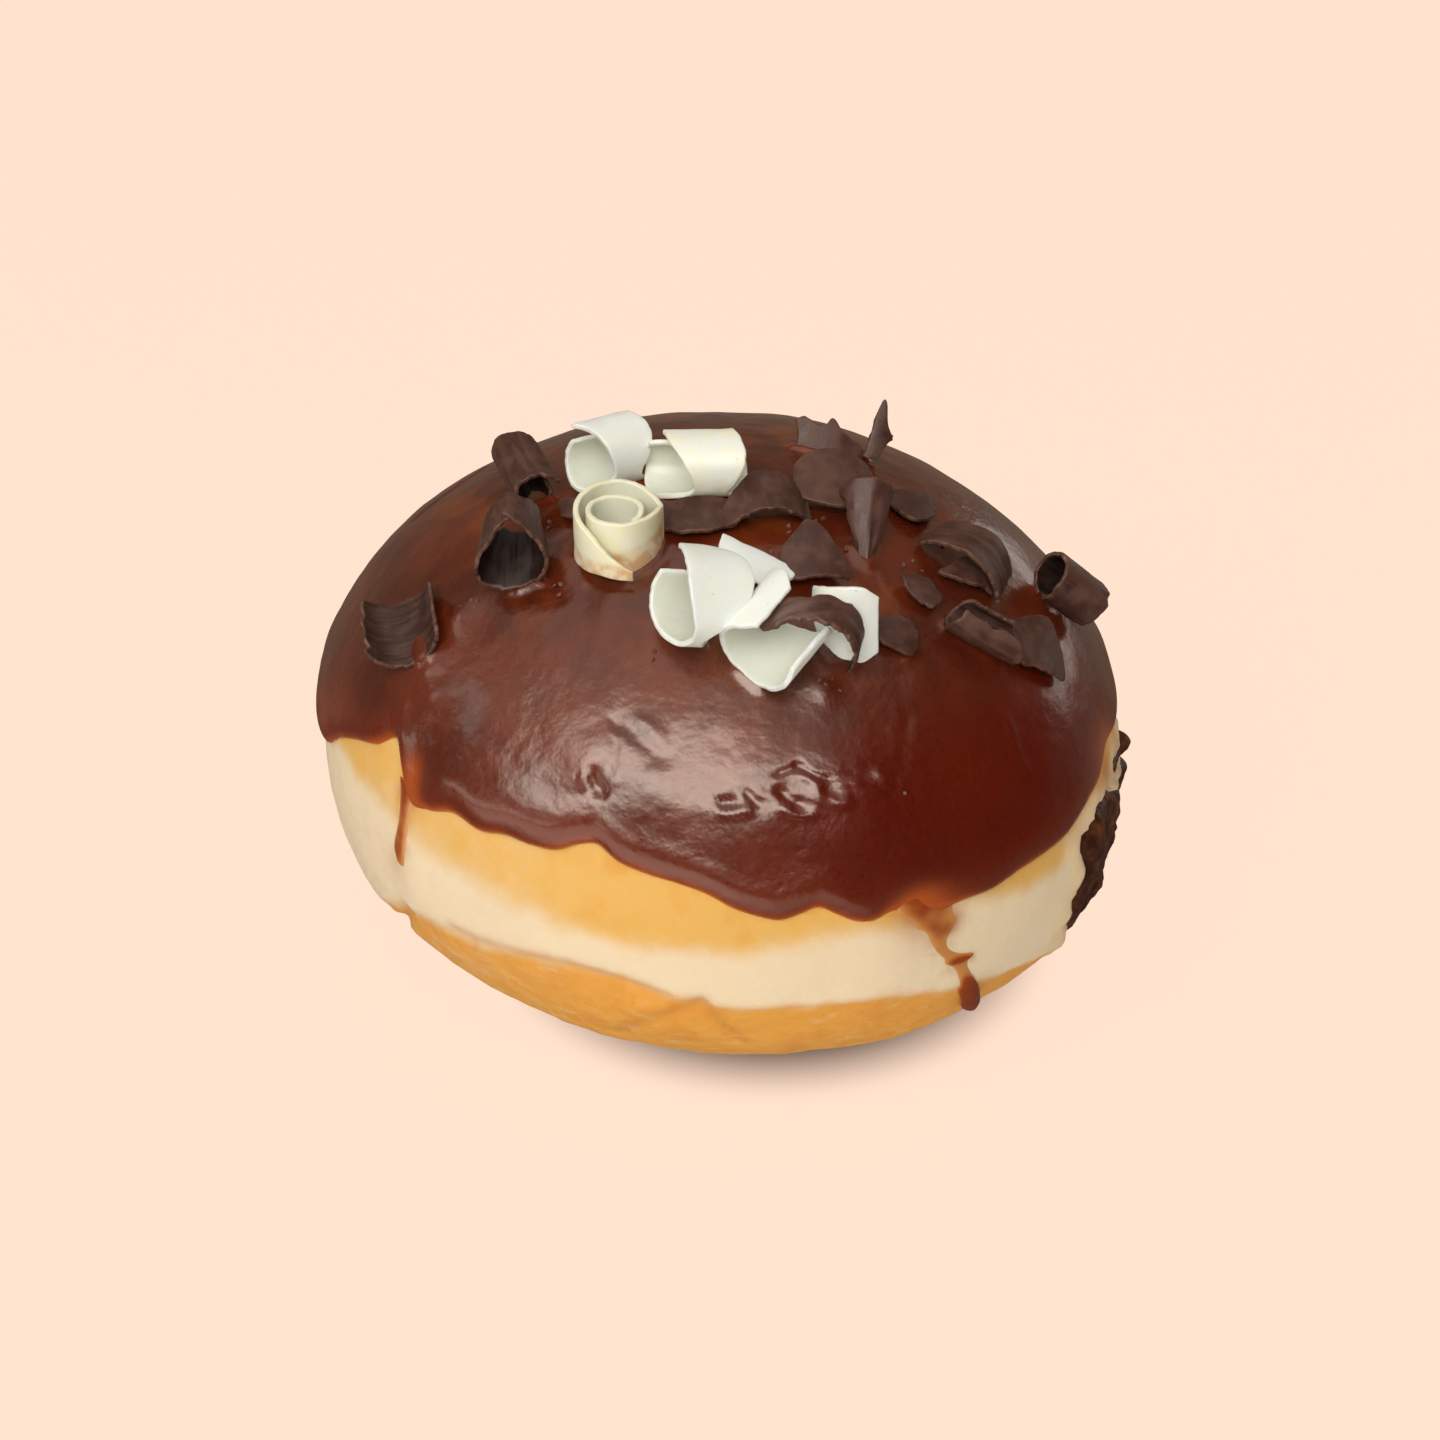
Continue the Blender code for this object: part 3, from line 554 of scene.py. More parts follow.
@dataclass(frozen=True)
class GlazeFinish:
    """Chocolate glaze: dark where it is thick, red brown where it thins, orange at its edge."""

    deep: Colour = (0.122, 0.0190, 0.0055)
    red: Colour = (0.090, 0.0050, 0.0006)
    thin: Colour = (0.42, 0.070, 0.004)
    shade: Colour = (0.070, 0.0095, 0.0025)
    film: Colour = (0.68, 0.32, 0.085)
    amber: Colour = (0.23, 0.048, 0.006)

    def material(self) -> bpy.types.Material:
        """Returns the glaze's material."""
        g = Graph("chocolate_glaze_coat")
        cloud = g.grain(9.0 * MM, 4.0)
        fine = g.grain(0.7 * MM, 2.0)
        colour = g.blend(g.rise(cloud, 0.35, 0.65), self.shade, self.deep)
        patch = g.rise(g.grain(8.0 * MM, 3.0), 0.50, 0.68, 0.0, 0.6)
        colour = g.blend(g.times(patch, g.layer("crown")), colour, self.amber)
        colour = g.blend(g.layer("red"), colour, self.red)
        colour = g.blend(g.layer("thin"), colour, self.thin)
        colour = g.blend(g.layer("film"), colour, self.film)
        g.set(Base_Color=colour)
        g.set(Roughness=g.plus(g.layer("satin"), g.rise(fine, 0.3, 0.7, -0.03, 0.03)))
        g.set(IOR=1.54, Specular_Tint=(1.0, 0.90, 0.80))
        g.set(Coat_Weight=0.25, Coat_Roughness=0.14, Coat_IOR=1.45)
        skin = g.bump(g.grain(0.9 * MM, 2.0), 0.03 * MM)
        g.set(Normal=g.bump(g.grain(3.0 * MM, 3.0), 0.20 * MM, skin))
        return g.material


@dataclass(frozen=True)
class WhiteFinish:
    """Satin white chocolate, from cool to creamy, with painted shade on the inner walls."""

    cool: Colour = (0.84, 0.88, 0.83)
    cream: Colour = (0.90, 0.84, 0.57)
    shaded: Colour = (0.74, 0.77, 0.66)
    low_orange: Colour = (0.62, 0.30, 0.10)
    speck: Colour = (0.62, 0.50, 0.26)

    def material(self) -> bpy.types.Material:
        """Returns the white shavings' material."""
        g = Graph("white_chocolate_satin")
        mottle = g.grain(2.2 * MM, 2.0)
        warm = g.plus(g.layer("tint"), g.rise(mottle, 0.3, 0.7, -0.15, 0.15))
        colour = g.blend(g.rise(warm, 0.0, 1.0), self.cool, self.cream)
        # Painted shade: the inner wall of each roll is tinted towards the shaded grey green
        colour = g.blend(g.times(g.layer("inner"), 0.85), colour, self.shaded)
        # The curl turns orange brown low down, near the bun's skin, and less so on its inner wall
        foot = g.times(g.rise(g.grain(1.5 * MM, 2.0), 0.35, 0.65, 0.3, 1.0), g.layer("foot"))
        foot = g.times(foot, g.rise(g.layer("inner"), 0.0, 1.0, 1.0, 0.15))
        colour = g.blend(g.times(foot, 0.75), colour, self.low_orange)
        spots = g.rise(g.grain(0.5 * MM, 2.0), 0.70, 0.78, 0.0, 0.5)
        colour = g.blend(spots, colour, self.speck)
        g.set(Base_Color=colour, Roughness=g.rise(mottle, 0.3, 0.7, 0.36, 0.5))
        g.set(Subsurface_Weight=0.4, Subsurface_Radius=(1.0, 0.85, 0.5), Subsurface_Scale=1.4 * MM)
        g.set(Specular_IOR_Level=0.45)
        g.set(Normal=g.bump(g.layer("streak"), 0.04 * MM, g.bump(g.grain(0.6 * MM, 3.0), 0.03 * MM)))
        return g.material


@dataclass(frozen=True)
class DarkFinish:
    """Dull dark chocolate with paler broken edges, and painted shade on the inner walls."""

    body: Colour = (0.052, 0.018, 0.011)
    dusty: Colour = (0.105, 0.046, 0.031)
    edge: Colour = (0.16, 0.070, 0.038)
    # Painted shade: the colour that the inner walls are darkened towards
    hollow: Colour = (0.010, 0.004, 0.0025)

    def material(self) -> bpy.types.Material:
        """Returns the dark shavings' material."""
        g = Graph("dark_chocolate_matt")
        mottle = g.grain(1.8 * MM, 3.0)
        dust = g.plus(g.layer("tint"), g.rise(mottle, 0.35, 0.7, -0.3, 0.3))
        colour = g.blend(g.rise(dust, 0.0, 1.0), self.body, self.dusty)
        colour = g.blend(g.rise(g.layer("streak"), 0.35, 0.9, 0.0, 0.5), colour, self.dusty)
        chipped = g.times(g.layer("rim"), g.rise(g.grain(0.8 * MM, 2.0), 0.4, 0.65, 0.05, 0.65))
        colour = g.blend(chipped, colour, self.edge)
        # Painted shade: the inner wall of each shaving is darkened towards the near-black hollow colour
        colour = g.blend(g.times(g.layer("inner"), 0.88), colour, self.hollow)
        g.set(Base_Color=colour, Roughness=g.rise(mottle, 0.3, 0.7, 0.42, 0.62))
        g.set(Specular_IOR_Level=0.32)
        rough = g.bump(g.grain(0.3 * MM, 3.0), 0.035 * MM)
        g.set(Normal=g.bump(g.layer("streak"), 0.05 * MM, rough))
        return g.material


@dataclass(frozen=True)
class FillingFinish:
    """Thick dark chocolate cream with a few wet patches."""

    body: Colour = (0.042, 0.011, 0.004)
    light: Colour = (0.17, 0.048, 0.013)

    def material(self) -> bpy.types.Material:
        """Returns the filling's material."""
        g = Graph("dark_filling_cream")
        mottle = g.grain(2.0 * MM, 4.0)
        colour = g.blend(g.rise(mottle, 0.4, 0.75, 0.0, 0.8), self.body, self.light)
        g.set(Base_Color=colour, Roughness=g.rise(mottle, 0.35, 0.65, 0.28, 0.55), IOR=1.45)
        g.set(Specular_IOR_Level=0.2)
        rough = g.bump(g.grain(0.5 * MM, 4.0), 0.12 * MM)
        g.set(Normal=g.bump(g.grain(1.6 * MM, 3.0), 0.25 * MM, rough))
        return g.material


@dataclass(frozen=True)
class OozeShape:
    """The outline of the filling that shows at the bun's side.

    The outline is an ellipse with one notch (depth, turn, half width) and with scallops, each of
    them given by its size, its count round the outline and its start.
    """

    azimuth: float = -14.5
    down: float = 101.0
    wide: float = math.degrees(15.5 * MM / BUN.radius)
    tall: float = math.degrees(8.6 * MM / BUN.keel_depth)
    notch: tuple[float, float, float] = (0.17, -2.2, 0.5)
    scallops: tuple[tuple[float, int, float], ...] = (
        (0.10, 3, 0.6), (0.07, 5, -1.0), (0.05, 8, 0.0), (0.03, 13, 1.0), (0.02, 21, 2.0),
    )

    def outline(self, turn: np.ndarray) -> np.ndarray:
        """Returns the outline's reach for each turn, about 1."""
        depth, at_turn, width = self.notch
        notch = depth * bell(((turn - at_turn + math.pi) % math.tau - math.pi) / width)
        return 1 - notch + sum(size * np.cos(count * turn + start) for size, count, start in self.scallops)

    def place(self, share: np.ndarray, turn: np.ndarray) -> tuple[np.ndarray, np.ndarray]:
        """Returns (down, azimuth) at a share of the way to the outline."""
        reach = share * self.outline(turn)
        return self.down + reach * self.tall * np.sin(turn), self.azimuth + reach * self.wide * np.cos(turn)

    def share(self, down: np.ndarray, azimuth: np.ndarray) -> np.ndarray:
        """Returns how far out places are, where 1 is on the outline."""
        across = turned(np.asarray(azimuth) - self.azimuth) / self.wide
        along = (np.asarray(down) - self.down) / self.tall
        return np.hypot(across, along) / self.outline(np.arctan2(along, across))


OOZE = OozeShape()
BRIDGE = Line(((-17.0, 88.4), (-9.0, 89.6), (2.0, 90.6)), 0.70 * MM, 0.6 * MM)


class Dough:
    """The bun's skin, with its bands, creases and the torn opening at its side.

    A stain has an azimuth, a down angle, a radius in mm and a strength. A swell has an azimuth, a
    level over the widest one, a radius and a height, all in mm but the azimuth. A crease has a
    width, a height and a path of (azimuth, level), in mm too.
    """

    STAINS = (
        (-61.8, 85.5, 3.3, 1.0), (-58.0, 89.4, 1.7, 1.0), (-60.8, 91.0, 1.1, 0.6), (-60.6, 93.6, 0.9, 0.30),
        (-58.4, 93.0, 1.3, 0.25), (-57.2, 96.4, 0.8, 0.55), (-54.3, 96.8, 0.7, 0.55),
        (-57.5, 98.4, 0.7, 0.4), (-55.5, 100.0, 0.9, 0.3), (-53.0, 108.0, 2.6, 0.22),
        (-141.0, 76.0, 1.8, 0.7), (-141.0, 80.5, 1.2, 0.45), (-141.4, 85.5, 1.3, 0.45),
        (-142.5, 89.5, 1.8, 0.25), (-20.0, 83.0, 2.6, 0.7), (-12.0, 85.0, 2.4, 0.5),
    )
    SWELLS = (
        (-139.0, -1.0, 4.0, 0.5), (-112.0, -1.6, 7.0, 0.35), (-98.0, -9.5, 4.0, 0.35),
        (-60.0, -3.0, 9.0, 0.3), (90.0, -2.0, 10.0, 0.5),
    )
    CREASES = (
        (0.8, -0.16, ((-132, -4.4), (-127, -4.5), (-118, -3.9), (-112, -3.3), (-104, -4.1), (-98, -5.4))),
        (1.0, -0.40, ((-93, -6.3), (-96.5, -7.9), (-99, -9.0), (-103, -11.5), (-108, -14.9))),
        (0.8, -0.30, ((-93, -6.3), (-91, -8.8), (-89.5, -11), (-87, -13.6))),
        (0.9, -1.0, ((-143, -6.6), (-144.5, -8.2), (-148, -11.0), (-154, -14.2), (-161, -17.0))),
        (0.6, -0.6, ((118, -3.6), (128, -5.0), (139, -4.6), (148, -7.0))),
        (0.5, -0.5, ((52, -5.0), (60, -7.2), (63, -10.0))),
    )
    ROWS = 236
    SIDES = 380
    # Levels over the widest one where the golden part starts and where the crust ends
    GOLDEN_FADE = 2.6 * MM
    CRUST_FADE = 2.1 * MM
    GOLDEN_LEVEL = levels((
        (-180, 6.5), (-165, 6.5), (-150, 5.6), (-140, 4.8), (-130, 3.6), (-118, 2.0), (-105, 0.6),
        (-95, 0.0), (-85, 0.4), (-72, 2.0), (-60, 2.4), (-45, 0.0), (-35, 0.8), (-20, 3.0), (0, 3.4),
        (40, 2.4), (80, 3.2), (120, 2.0), (150, 4.0),
    ))
    CRUST_LEVEL = levels((
        (-180, -13.0), (-165, -13.0), (-155, -10.5), (-148, -8.0), (-141, -6.0), (-133, -4.6),
        (-126, -4.6), (-118, -3.9), (-112, -3.4), (-105, -4.0), (-98, -5.4), (-93, -6.4), (-85, -7.0),
        (-72, -7.0), (-62, -8.2), (-50, -10.0), (-38, -12.2), (-20, -14.5), (0, -13.0), (30, -9.0),
        (60, -7.0), (95, -8.5), (130, -7.0), (160, -10.0),
    ))
    GOLDEN_WAVES = Lumps(9 * MM, 0.7 * MM, 2)
    CRUST_WAVES = Lumps(7 * MM, 0.5 * MM, 3)
    # Relief
    SWELLING = Lumps(13 * MM, 0.30 * MM, 2)
    UNEVENNESS = Lumps(3.2 * MM, 0.07 * MM, 3)
    CRUST_PIMPLES = Lumps(2.1 * MM, 0.10 * MM, 2)
    # The paler part at the left
    PALER_AZIMUTH = -134.0
    PALER_SPREAD = 24.0
    PALER_CRUST = 0.22
    PALER_GOLDEN = 0.30
    # Painted shade along the creases: its strength at a crease's middle
    CREASE_SHADE = 0.4
    # The seam over the crust
    OVERHANG = 0.26 * MM
    SEAM_RISE = (-0.6 * MM, 0.5 * MM)
    SEAM_WIDTH = 3 * MM
    SEAM_LEVELS = (-2 * MM, 3 * MM)
    # The torn opening, in shares of the way to the filling's outline
    CRATER_DEPTH = 1.8 * MM
    TORN_LIP = 0.5 * MM
    TORN_EDGE = Lumps(1.8 * MM, 0.06, 3)
    TORN_BASE = 0.7
    TORN_LUMPS = Lumps(2.6 * MM, 0.6, 2)
    TORN_SHARES = (1.12, 1.32)
    LIP_SHARE = 1.10
    LIP_WIDTH = 0.09
    CRATER_SHARES = (0.90, 1.02)
    BRIDGE_SHARES = (1.0, 1.3)
    STAIN_SWAY = Lumps(1.6 * MM, 0.5 * MM, 2)
    STAIN_APART = 0.04

    def __init__(self) -> None:
        """Sets up the creases and swells."""
        self.folds = tuple(
            Line(
                tuple((azimuth, float(BUN.down_at_level(level * MM))) for azimuth, level in path),
                width * MM, height * MM,
            )
            for width, height, path in self.CREASES
        )
        self.swells = tuple(
            Swell(azimuth, float(BUN.down_at_level(level * MM)), radius * MM, height * MM)
            for azimuth, level, radius, height in self.SWELLS
        )

    def surface(self, down: np.ndarray, azimuth: np.ndarray) -> tuple[np.ndarray, dict[str, np.ndarray]]:
        """Returns how far the crust rises from the plain bun, and its layers of colour.

        Args:
            down: Down angles of places.
            azimuth: Azimuths of the same places.

        Returns:
            The relief, and values of each layer.
        """
        skin = BUN.on(down, azimuth)
        level = skin[..., 2] - BUN.widest_level
        big, small = Noise(11), Noise(12)
        crust_level = round_curve(self.CRUST_LEVEL, azimuth) + self.CRUST_WAVES.over(big, skin)
        golden_level = round_curve(self.GOLDEN_LEVEL, azimuth) + self.GOLDEN_WAVES.over(big, skin)
        paler = bell((turned(azimuth) - self.PALER_AZIMUTH) / self.PALER_SPREAD)
        crust = smooth_step(crust_level - level, -self.CRUST_FADE, self.CRUST_FADE)
        crust *= 1 - self.PALER_CRUST * paler
        golden = smooth_step(level - golden_level, -self.GOLDEN_FADE, self.GOLDEN_FADE)
        golden *= 1 - self.PALER_GOLDEN * paler
        relief = self.SWELLING.over(big, skin) + self.UNEVENNESS.over(small, skin)
        relief += crust * self.CRUST_PIMPLES.over(small, skin)
        crease = np.zeros(down.shape)
        for fold in self.folds:
            nearness = fold.nearness(skin, 0.0)
            relief += fold.height * nearness
            # painted shade along the crease, kept in the crease layer
            crease = np.maximum(crease, nearness**2 * self.CREASE_SHADE)
        for swell in self.swells:
            relief += swell.height * swell.nearness(skin)
        over_seam = level - crust_level
        overhang = smooth_step(over_seam, *self.SEAM_RISE) * bell(over_seam / self.SEAM_WIDTH)
        relief += self.OVERHANG * overhang * smooth_step(-level, *self.SEAM_LEVELS)
        share = OOZE.share(down, azimuth)
        ragged = share + self.TORN_EDGE.over(small, skin)
        bridge = BRIDGE.nearness(skin, 0.0)
        relief -= self.CRATER_DEPTH * (1 - smooth_step(ragged, *self.CRATER_SHARES)) * (1 - bridge)
        relief += BRIDGE.height * bridge * (1 - smooth_step(share, *self.BRIDGE_SHARES))
        lip = bell((ragged - self.LIP_SHARE) / self.LIP_WIDTH)
        relief += self.TORN_LIP * lip * (self.TORN_BASE + self.TORN_LUMPS.over(small, skin))
        torn = 1 - smooth_step(ragged, *self.TORN_SHARES)
        stain = np.zeros(down.shape)
        swayed = skin + self.STAIN_SWAY.sway(small, skin, self.STAIN_APART)
        for at_azimuth, at_down, radius, strength in self.STAINS:
            spot = Swell(at_azimuth, at_down, radius * MM, strength)
            stain = np.maximum(stain, strength * spot.nearness(swayed))
        return relief, {"golden": golden, "crust": crust, "crease": crease, "torn": torn, "stain": stain}

    def build(self) -> bpy.types.Object:
        """Returns the bun's mesh with its layers of colour."""
        azimuth = np.linspace(0, 360, self.SIDES, endpoint=False)
        downs = np.linspace(0, 180, self.ROWS + 1)[1:-1]
        down, azimuth = np.meshgrid(downs, azimuth, indexing="ij")
        relief, layers = self.surface(down, azimuth)
        points = BUN.on(down, azimuth, relief).reshape(-1, 3)
        first = BUN.on(0.0, 0.0)
        last = BUN.on(180.0, 0.0)
        points = np.vstack([first, points, last])
        points[:, 2] = np.maximum(points[:, 2], 0)
        values = {}
        for name, layer in layers.items():
            top, base = float(name == "golden"), float(name == "crust")
            values[name] = np.concatenate([[top], layer.ravel(), [base]])
        return make_piece("dough_bun", points, ring_faces(len(downs), self.SIDES), values)


class Filling:
    """The cream that shows at the side and runs through to the pocket in the bun."""

    SIDES = 240
    SHOWN_RINGS = 70
    THICKNESS = 0.3 * MM
    BULGE = Swell(-5.5, 85.8, 2.8 * MM, 2.1 * MM)
    DEPTH = 1.6 * MM
    CHANNEL_RADIUS = 4.2 * MM
    POCKET_HALF_SIZE = (17.0 * MM, 15.0 * MM, 8.5 * MM)
    POCKET_CENTRE = (4.0 * MM, -1.0 * MM, BUN.widest_level + 0.5 * MM)
    POCKET_RINGS = 40
    CHUNKS = Lumps(4.2 * MM, 0.55 * MM, 2)
    BITS = Lumps(2.0 * MM, 0.32 * MM, 3)
    FIRST_SHARE = 0.015
    BACK_SHARES = (0.97, 0.8, 0.6)
    BACK_DEPTH = 1.15 * DEPTH
    FADE_POWERS = {"lumps": 10, "bulge": 24, "sinking": 14}
    MOUTH_FLARE = 1.4
    MOUTH_LENGTH = 2 * MM
    POCKET_START = 0.8

    def pocket_rings(self, turn: np.ndarray) -> tuple[list[np.ndarray], np.ndarray]:
        """Returns rings from the channel's mouth over the pocket, and the pocket's far point."""
        centre = np.array(self.POCKET_CENTRE)
        mouth = BUN.on(OOZE.down, OOZE.azimuth, -self.DEPTH)
        axis = Vector(mouth - centre).normalized()
        side = axis.cross(Vector((0, 0, 1))).normalized()
        up = np.array(side.cross(axis))
        axis, side = np.array(axis), np.array(side)
        across = np.cos(turn)[:, None] * side + np.sin(turn)[:, None] * -up
        rings = [
            mouth + across * self.CHANNEL_RADIUS * self.MOUTH_FLARE,
            mouth - axis * self.MOUTH_LENGTH + across * self.CHANNEL_RADIUS,
        ]
        half = np.array(self.POCKET_HALF_SIZE)
        start = math.asin(self.CHANNEL_RADIUS / self.POCKET_HALF_SIZE[2]) * self.POCKET_START
        for angle in np.linspace(start, math.pi, self.POCKET_RINGS + 1)[:-1]:
            rings.append(centre + (axis * math.cos(angle) + across * math.sin(angle)) * half)
        return rings, centre - axis * half

    def build(self) -> bpy.types.Object:
        """Returns the filling's mesh."""
        turn = np.linspace(0, math.tau, self.SIDES, endpoint=False)
        coarse, fine = Noise(21), Noise(22)
        rings = []
        for share in np.linspace(self.FIRST_SHARE, 1.0, self.SHOWN_RINGS):
            down, azimuth = OOZE.place(share, turn)
            skin = BUN.on(down, azimuth)
            lumps = self.CHUNKS.over(coarse, skin) + np.abs(self.BITS.over(fine, skin))
            fades = {name: share**power for name, power in self.FADE_POWERS.items()}
            bulge = self.BULGE.height * self.BULGE.nearness(skin)
            height = (self.THICKNESS + lumps) * (1 - fades["lumps"]) + bulge * (1 - fades["bulge"])
            height -= self.DEPTH * fades["sinking"]
            height -= (height + self.DEPTH) * BRIDGE.nearness(skin, 0.0)
            rings.append(BUN.on(down, azimuth, height))
        for share in self.BACK_SHARES:
            down, azimuth = OOZE.place(share, turn)
            rings.append(BUN.on(down, azimuth, -self.BACK_DEPTH))
        inner, end = self.pocket_rings(turn)
        rings += inner
        first = rings[0].mean(axis=0)
        points = np.vstack([first, *rings, end])
        return make_piece("filling_cream", points, ring_faces(len(rings), self.SIDES), {})


@dataclass(frozen=True)
class Run:
    """A run of glaze: stations of (azimuth, down, half width in mm, height in mm)."""

    name: str
    stations: tuple[tuple[float, float, float, float], ...]
    steps: int = 90
    columns: int = 25


class Glaze:
    """The coat of glaze, its edge, wrinkles, and the runs below it.

    A crumple has an azimuth and a spread, a down angle and a reach, and a strength. Where a name
    below has a pair of lengths or angles, a soft rise starts at one and ends at the other.
    """

    # Mesh
    SIDES = 500
    EVEN_ROWS = 150
    ARC = 50.0 * MM
    THICKNESS = 1.3 * MM
    UNDER_ROWS = 8
    # Distances in mm from the edge, where the mesh has rows near it
    EDGE_STEPS = (0.0, 0.04, 0.1, 0.18, 0.28, 0.4, 0.55, 0.72, 0.92, 1.15, 1.4, 1.7, 2.05, 2.45, 2.9)
    # The edge's rounded shoulder, and its level over the bun's widest one
    EDGE_WIDTH = 3.4 * MM
    EDGE_ROUNDNESS = 2.2
    EDGE_LEVEL = levels((
        (-180, 7.0), (-167, 5.2), (-163, 7.5), (-157, 9.8), (-151, 11.4), (-145.5, 13.2), (-143, 10.9),
        (-140.5, 8.6), (-136, 8.7), (-131, 9.7), (-125.5, 9.1), (-121.5, 9.6), (-117, 9.4), (-113, 9.6),
        (-109.5, 10.7), (-107, 11.0), (-104, 9.7), (-100, 8.8), (-95, 8.0), (-91, 7.0), (-88, 5.7),
        (-84.5, 4.7), (-81.7, 4.2), (-79, 4.7), (-76.3, 5.3), (-74, 4.3), (-71.5, 3.2), (-69, 2.9),
        (-66.5, 3.5), (-63.5, 3.2), (-61, 2.2), (-56, 2.5), (-51, 2.5), (-46, 3.1), (-40.7, 3.3),
        (-36.5, 3.4), (-33, 4.0), (-29, 4.7), (-24, 5.2), (-18, 6.8), (-10, 6.4), (0, 8.6), (10, 8.0),
        (22, 6.4), (33, 7.2), (45, 5.6), (58, 6.4), (68, 8.6), (75, 8.4), (88, 6.6), (99, 7.2),
        (110, 6.0), (124, 7.0), (135, 9.0), (145, 9.2), (158, 7.4), (168, 8.0),
    ))
    SWELLS = tuple(Swell(azimuth, down, radius * MM, height * MM) for azimuth, down, radius, height in (
        (-50.0, 66.0, 9.0, -0.5), (-109.0, 58.0, 3.6, 0.45), (-98.5, 61.0, 4.0, 0.50),
        (-84.0, 64.0, 4.6, 0.45), (-71.0, 63.0, 5.0, 0.50), (-125.0, 68.0, 6.0, 0.30),
        (-147.5, 43.0, 2.0, 0.60), (-148.0, 53.0, 2.4, 0.50), (-141.0, 58.0, 2.2, 0.35),
        (-114.0, 32.0, 2.2, 0.50), (-69.0, 46.5, 2.0, 0.40), (62.0, 40.0, 9.0, 0.35),
        (130.0, 50.0, 11.0, -0.35),
    ))
    WRINKLES = tuple(Line(path, width * MM, height * MM) for width, height, path in (
        (0.55, -0.20, ((-105.5, 52), (-105.0, 56), (-105.5, 60))),
        (0.70, -0.45, ((-107.3, 61), (-106.8, 63))),
        (0.35, 0.25, ((-109.3, 61), (-108.8, 63.2))),
        (0.35, -0.15, ((-106.5, 62), (-106, 65), (-107.5, 69), (-108, 71))),
        (0.85, -0.16, ((-105, 51), (-102, 53.5), (-99, 56.5), (-97, 57))),
        (0.85, 0.14, ((-100.5, 51.5), (-97.5, 53.6))),
        (0.30, -0.22, ((-80, 59.2), (-78, 58.8), (-76.3, 57.9))),
        (0.32, -0.30, ((-76.5, 58.4), (-74.5, 60), (-71.5, 61.0), (-69, 60.2), (-66.8, 61.6))),
        (0.60, 0.26, ((-75.5, 60.5), (-74.3, 63.5), (-71, 65.0))),
        (0.40, 0.34, ((-65, 61.2), (-64, 62.3), (-63.4, 63.6))),
        (0.35, 0.24, ((-68.5, 62.0), (-68, 64))),
        (0.45, -0.40, ((-88.5, 63.6), (-86.8, 63.2))),
        (0.38, -0.32, ((-84.6, 62.2), (-83.2, 63.8))),
        (0.38, 0.32, ((-87.9, 65.4), (-86, 65.2), (-84.2, 64.7))),
        (0.45, -0.45, ((-80.2, 62.2), (-78.6, 63.6), (-76.8, 63.8))),
        (0.38, 0.36, ((-79.5, 64.8), (-77.3, 66.1), (-75.2, 65.6))),
        (0.55, -0.16, ((-56.5, 53.5), (-58, 56), (-61, 61), (-63.5, 65))),
        (0.60, 0.20, ((-40.2, 61), (-40.8, 65), (-41.3, 69))),
        (0.50, -0.25, ((40, 45), (46, 50), (49, 57))),
        (0.50, -0.25, ((150, 38), (160, 42), (166, 48))),
    ))
    RUNS = (
        Run("glaze_run_front", (
            (-61.8, 81.0, 3.2, 0.60), (-61.6, 84.0, 3.4, 0.50), (-61.0, 86.3, 3.0, 0.38),
            (-60.2, 88.3, 2.4, 0.32), (-59.3, 90.0, 1.8, 0.36), (-59.5, 91.8, 1.1, 0.22),
            (-59.0, 93.6, 0.8, 0.18), (-57.6, 95.4, 1.0, 0.22), (-56.2, 96.7, 1.9, 0.48),
            (-56.0, 98.2, 1.0, 0.22), (-55.4, 100.5, 0.8, 0.26), (-54.6, 103.0, 1.1, 0.70),
            (-53.7, 106.5, 1.45, 1.15), (-52.6, 110.5, 1.5, 1.35), (-51.6, 114.3, 1.35, 1.25),
            (-51.1, 116.2, 0.8, 0.7), (-50.9, 117.1, 0.3, 0.2),
        ), 150),
        Run("glaze_run_left", (
            (-141.4, 73.5, 1.8, 0.55), (-141.1, 77.0, 1.2, 0.42), (-141.0, 80.5, 0.9, 0.34),
            (-141.3, 84.0, 1.0, 0.36), (-141.5, 87.0, 1.1, 0.38), (-141.3, 89.4, 0.7, 0.22),
        )),
        Run("glaze_run_back", (
            (38.0, 76.0, 1.8, 0.7), (38.4, 81.0, 1.2, 0.65), (38.9, 86.0, 1.0, 0.6),
            (39.4, 92.0, 1.1, 0.75), (39.8, 97.0, 1.45, 1.2), (40.0, 100.0, 1.35, 1.3),
            (40.1, 101.8, 0.5, 0.6),
        )),
    )

    PLAIN_EDGE = 78.0
    UNDER_DEPTH = 0.25 * MM
    UNDER_START = 0.999
    # Relief
    BROAD_LUMPS = Lumps(8 * MM, 0.13 * MM, 2)
    SMALL_LUMPS = Lumps(2.4 * MM, 0.035 * MM, 2)
    SWAY = Lumps(1.7 * MM, 1.0, 2)
    SWAY_APART = 0.03
    WRINKLE_SWAY = 0.35 * MM
    CRUMPLE = 0.22 * MM
    CRUMPLE_SWAY = 0.4 * MM
    CRUMPLE_RIDGES = Lumps(2.6 * MM, 1.0, 2, 0.09)
    CRUMPLE_BASE = 0.4
    CRUMPLES = ((-76, 13, 63, 3.2, 1.0), (-107, 4, 62, 4, 0.7))
    # The glaze that climbs where shavings stand in it
    FOOT_HEIGHT = 0.42 * MM
    FOOT_WIDTH = 0.55 * MM
    # Places where the coat runs out thin
    THIN_ZONES = (
        Zone(-62, 5.5, 77, 84), Zone(-140, 4.0, 62, 71), Zone(-20, 9.0, 68, 78, strength=0.8),
    )
    THIN_ZONE_LOSS = 0.55
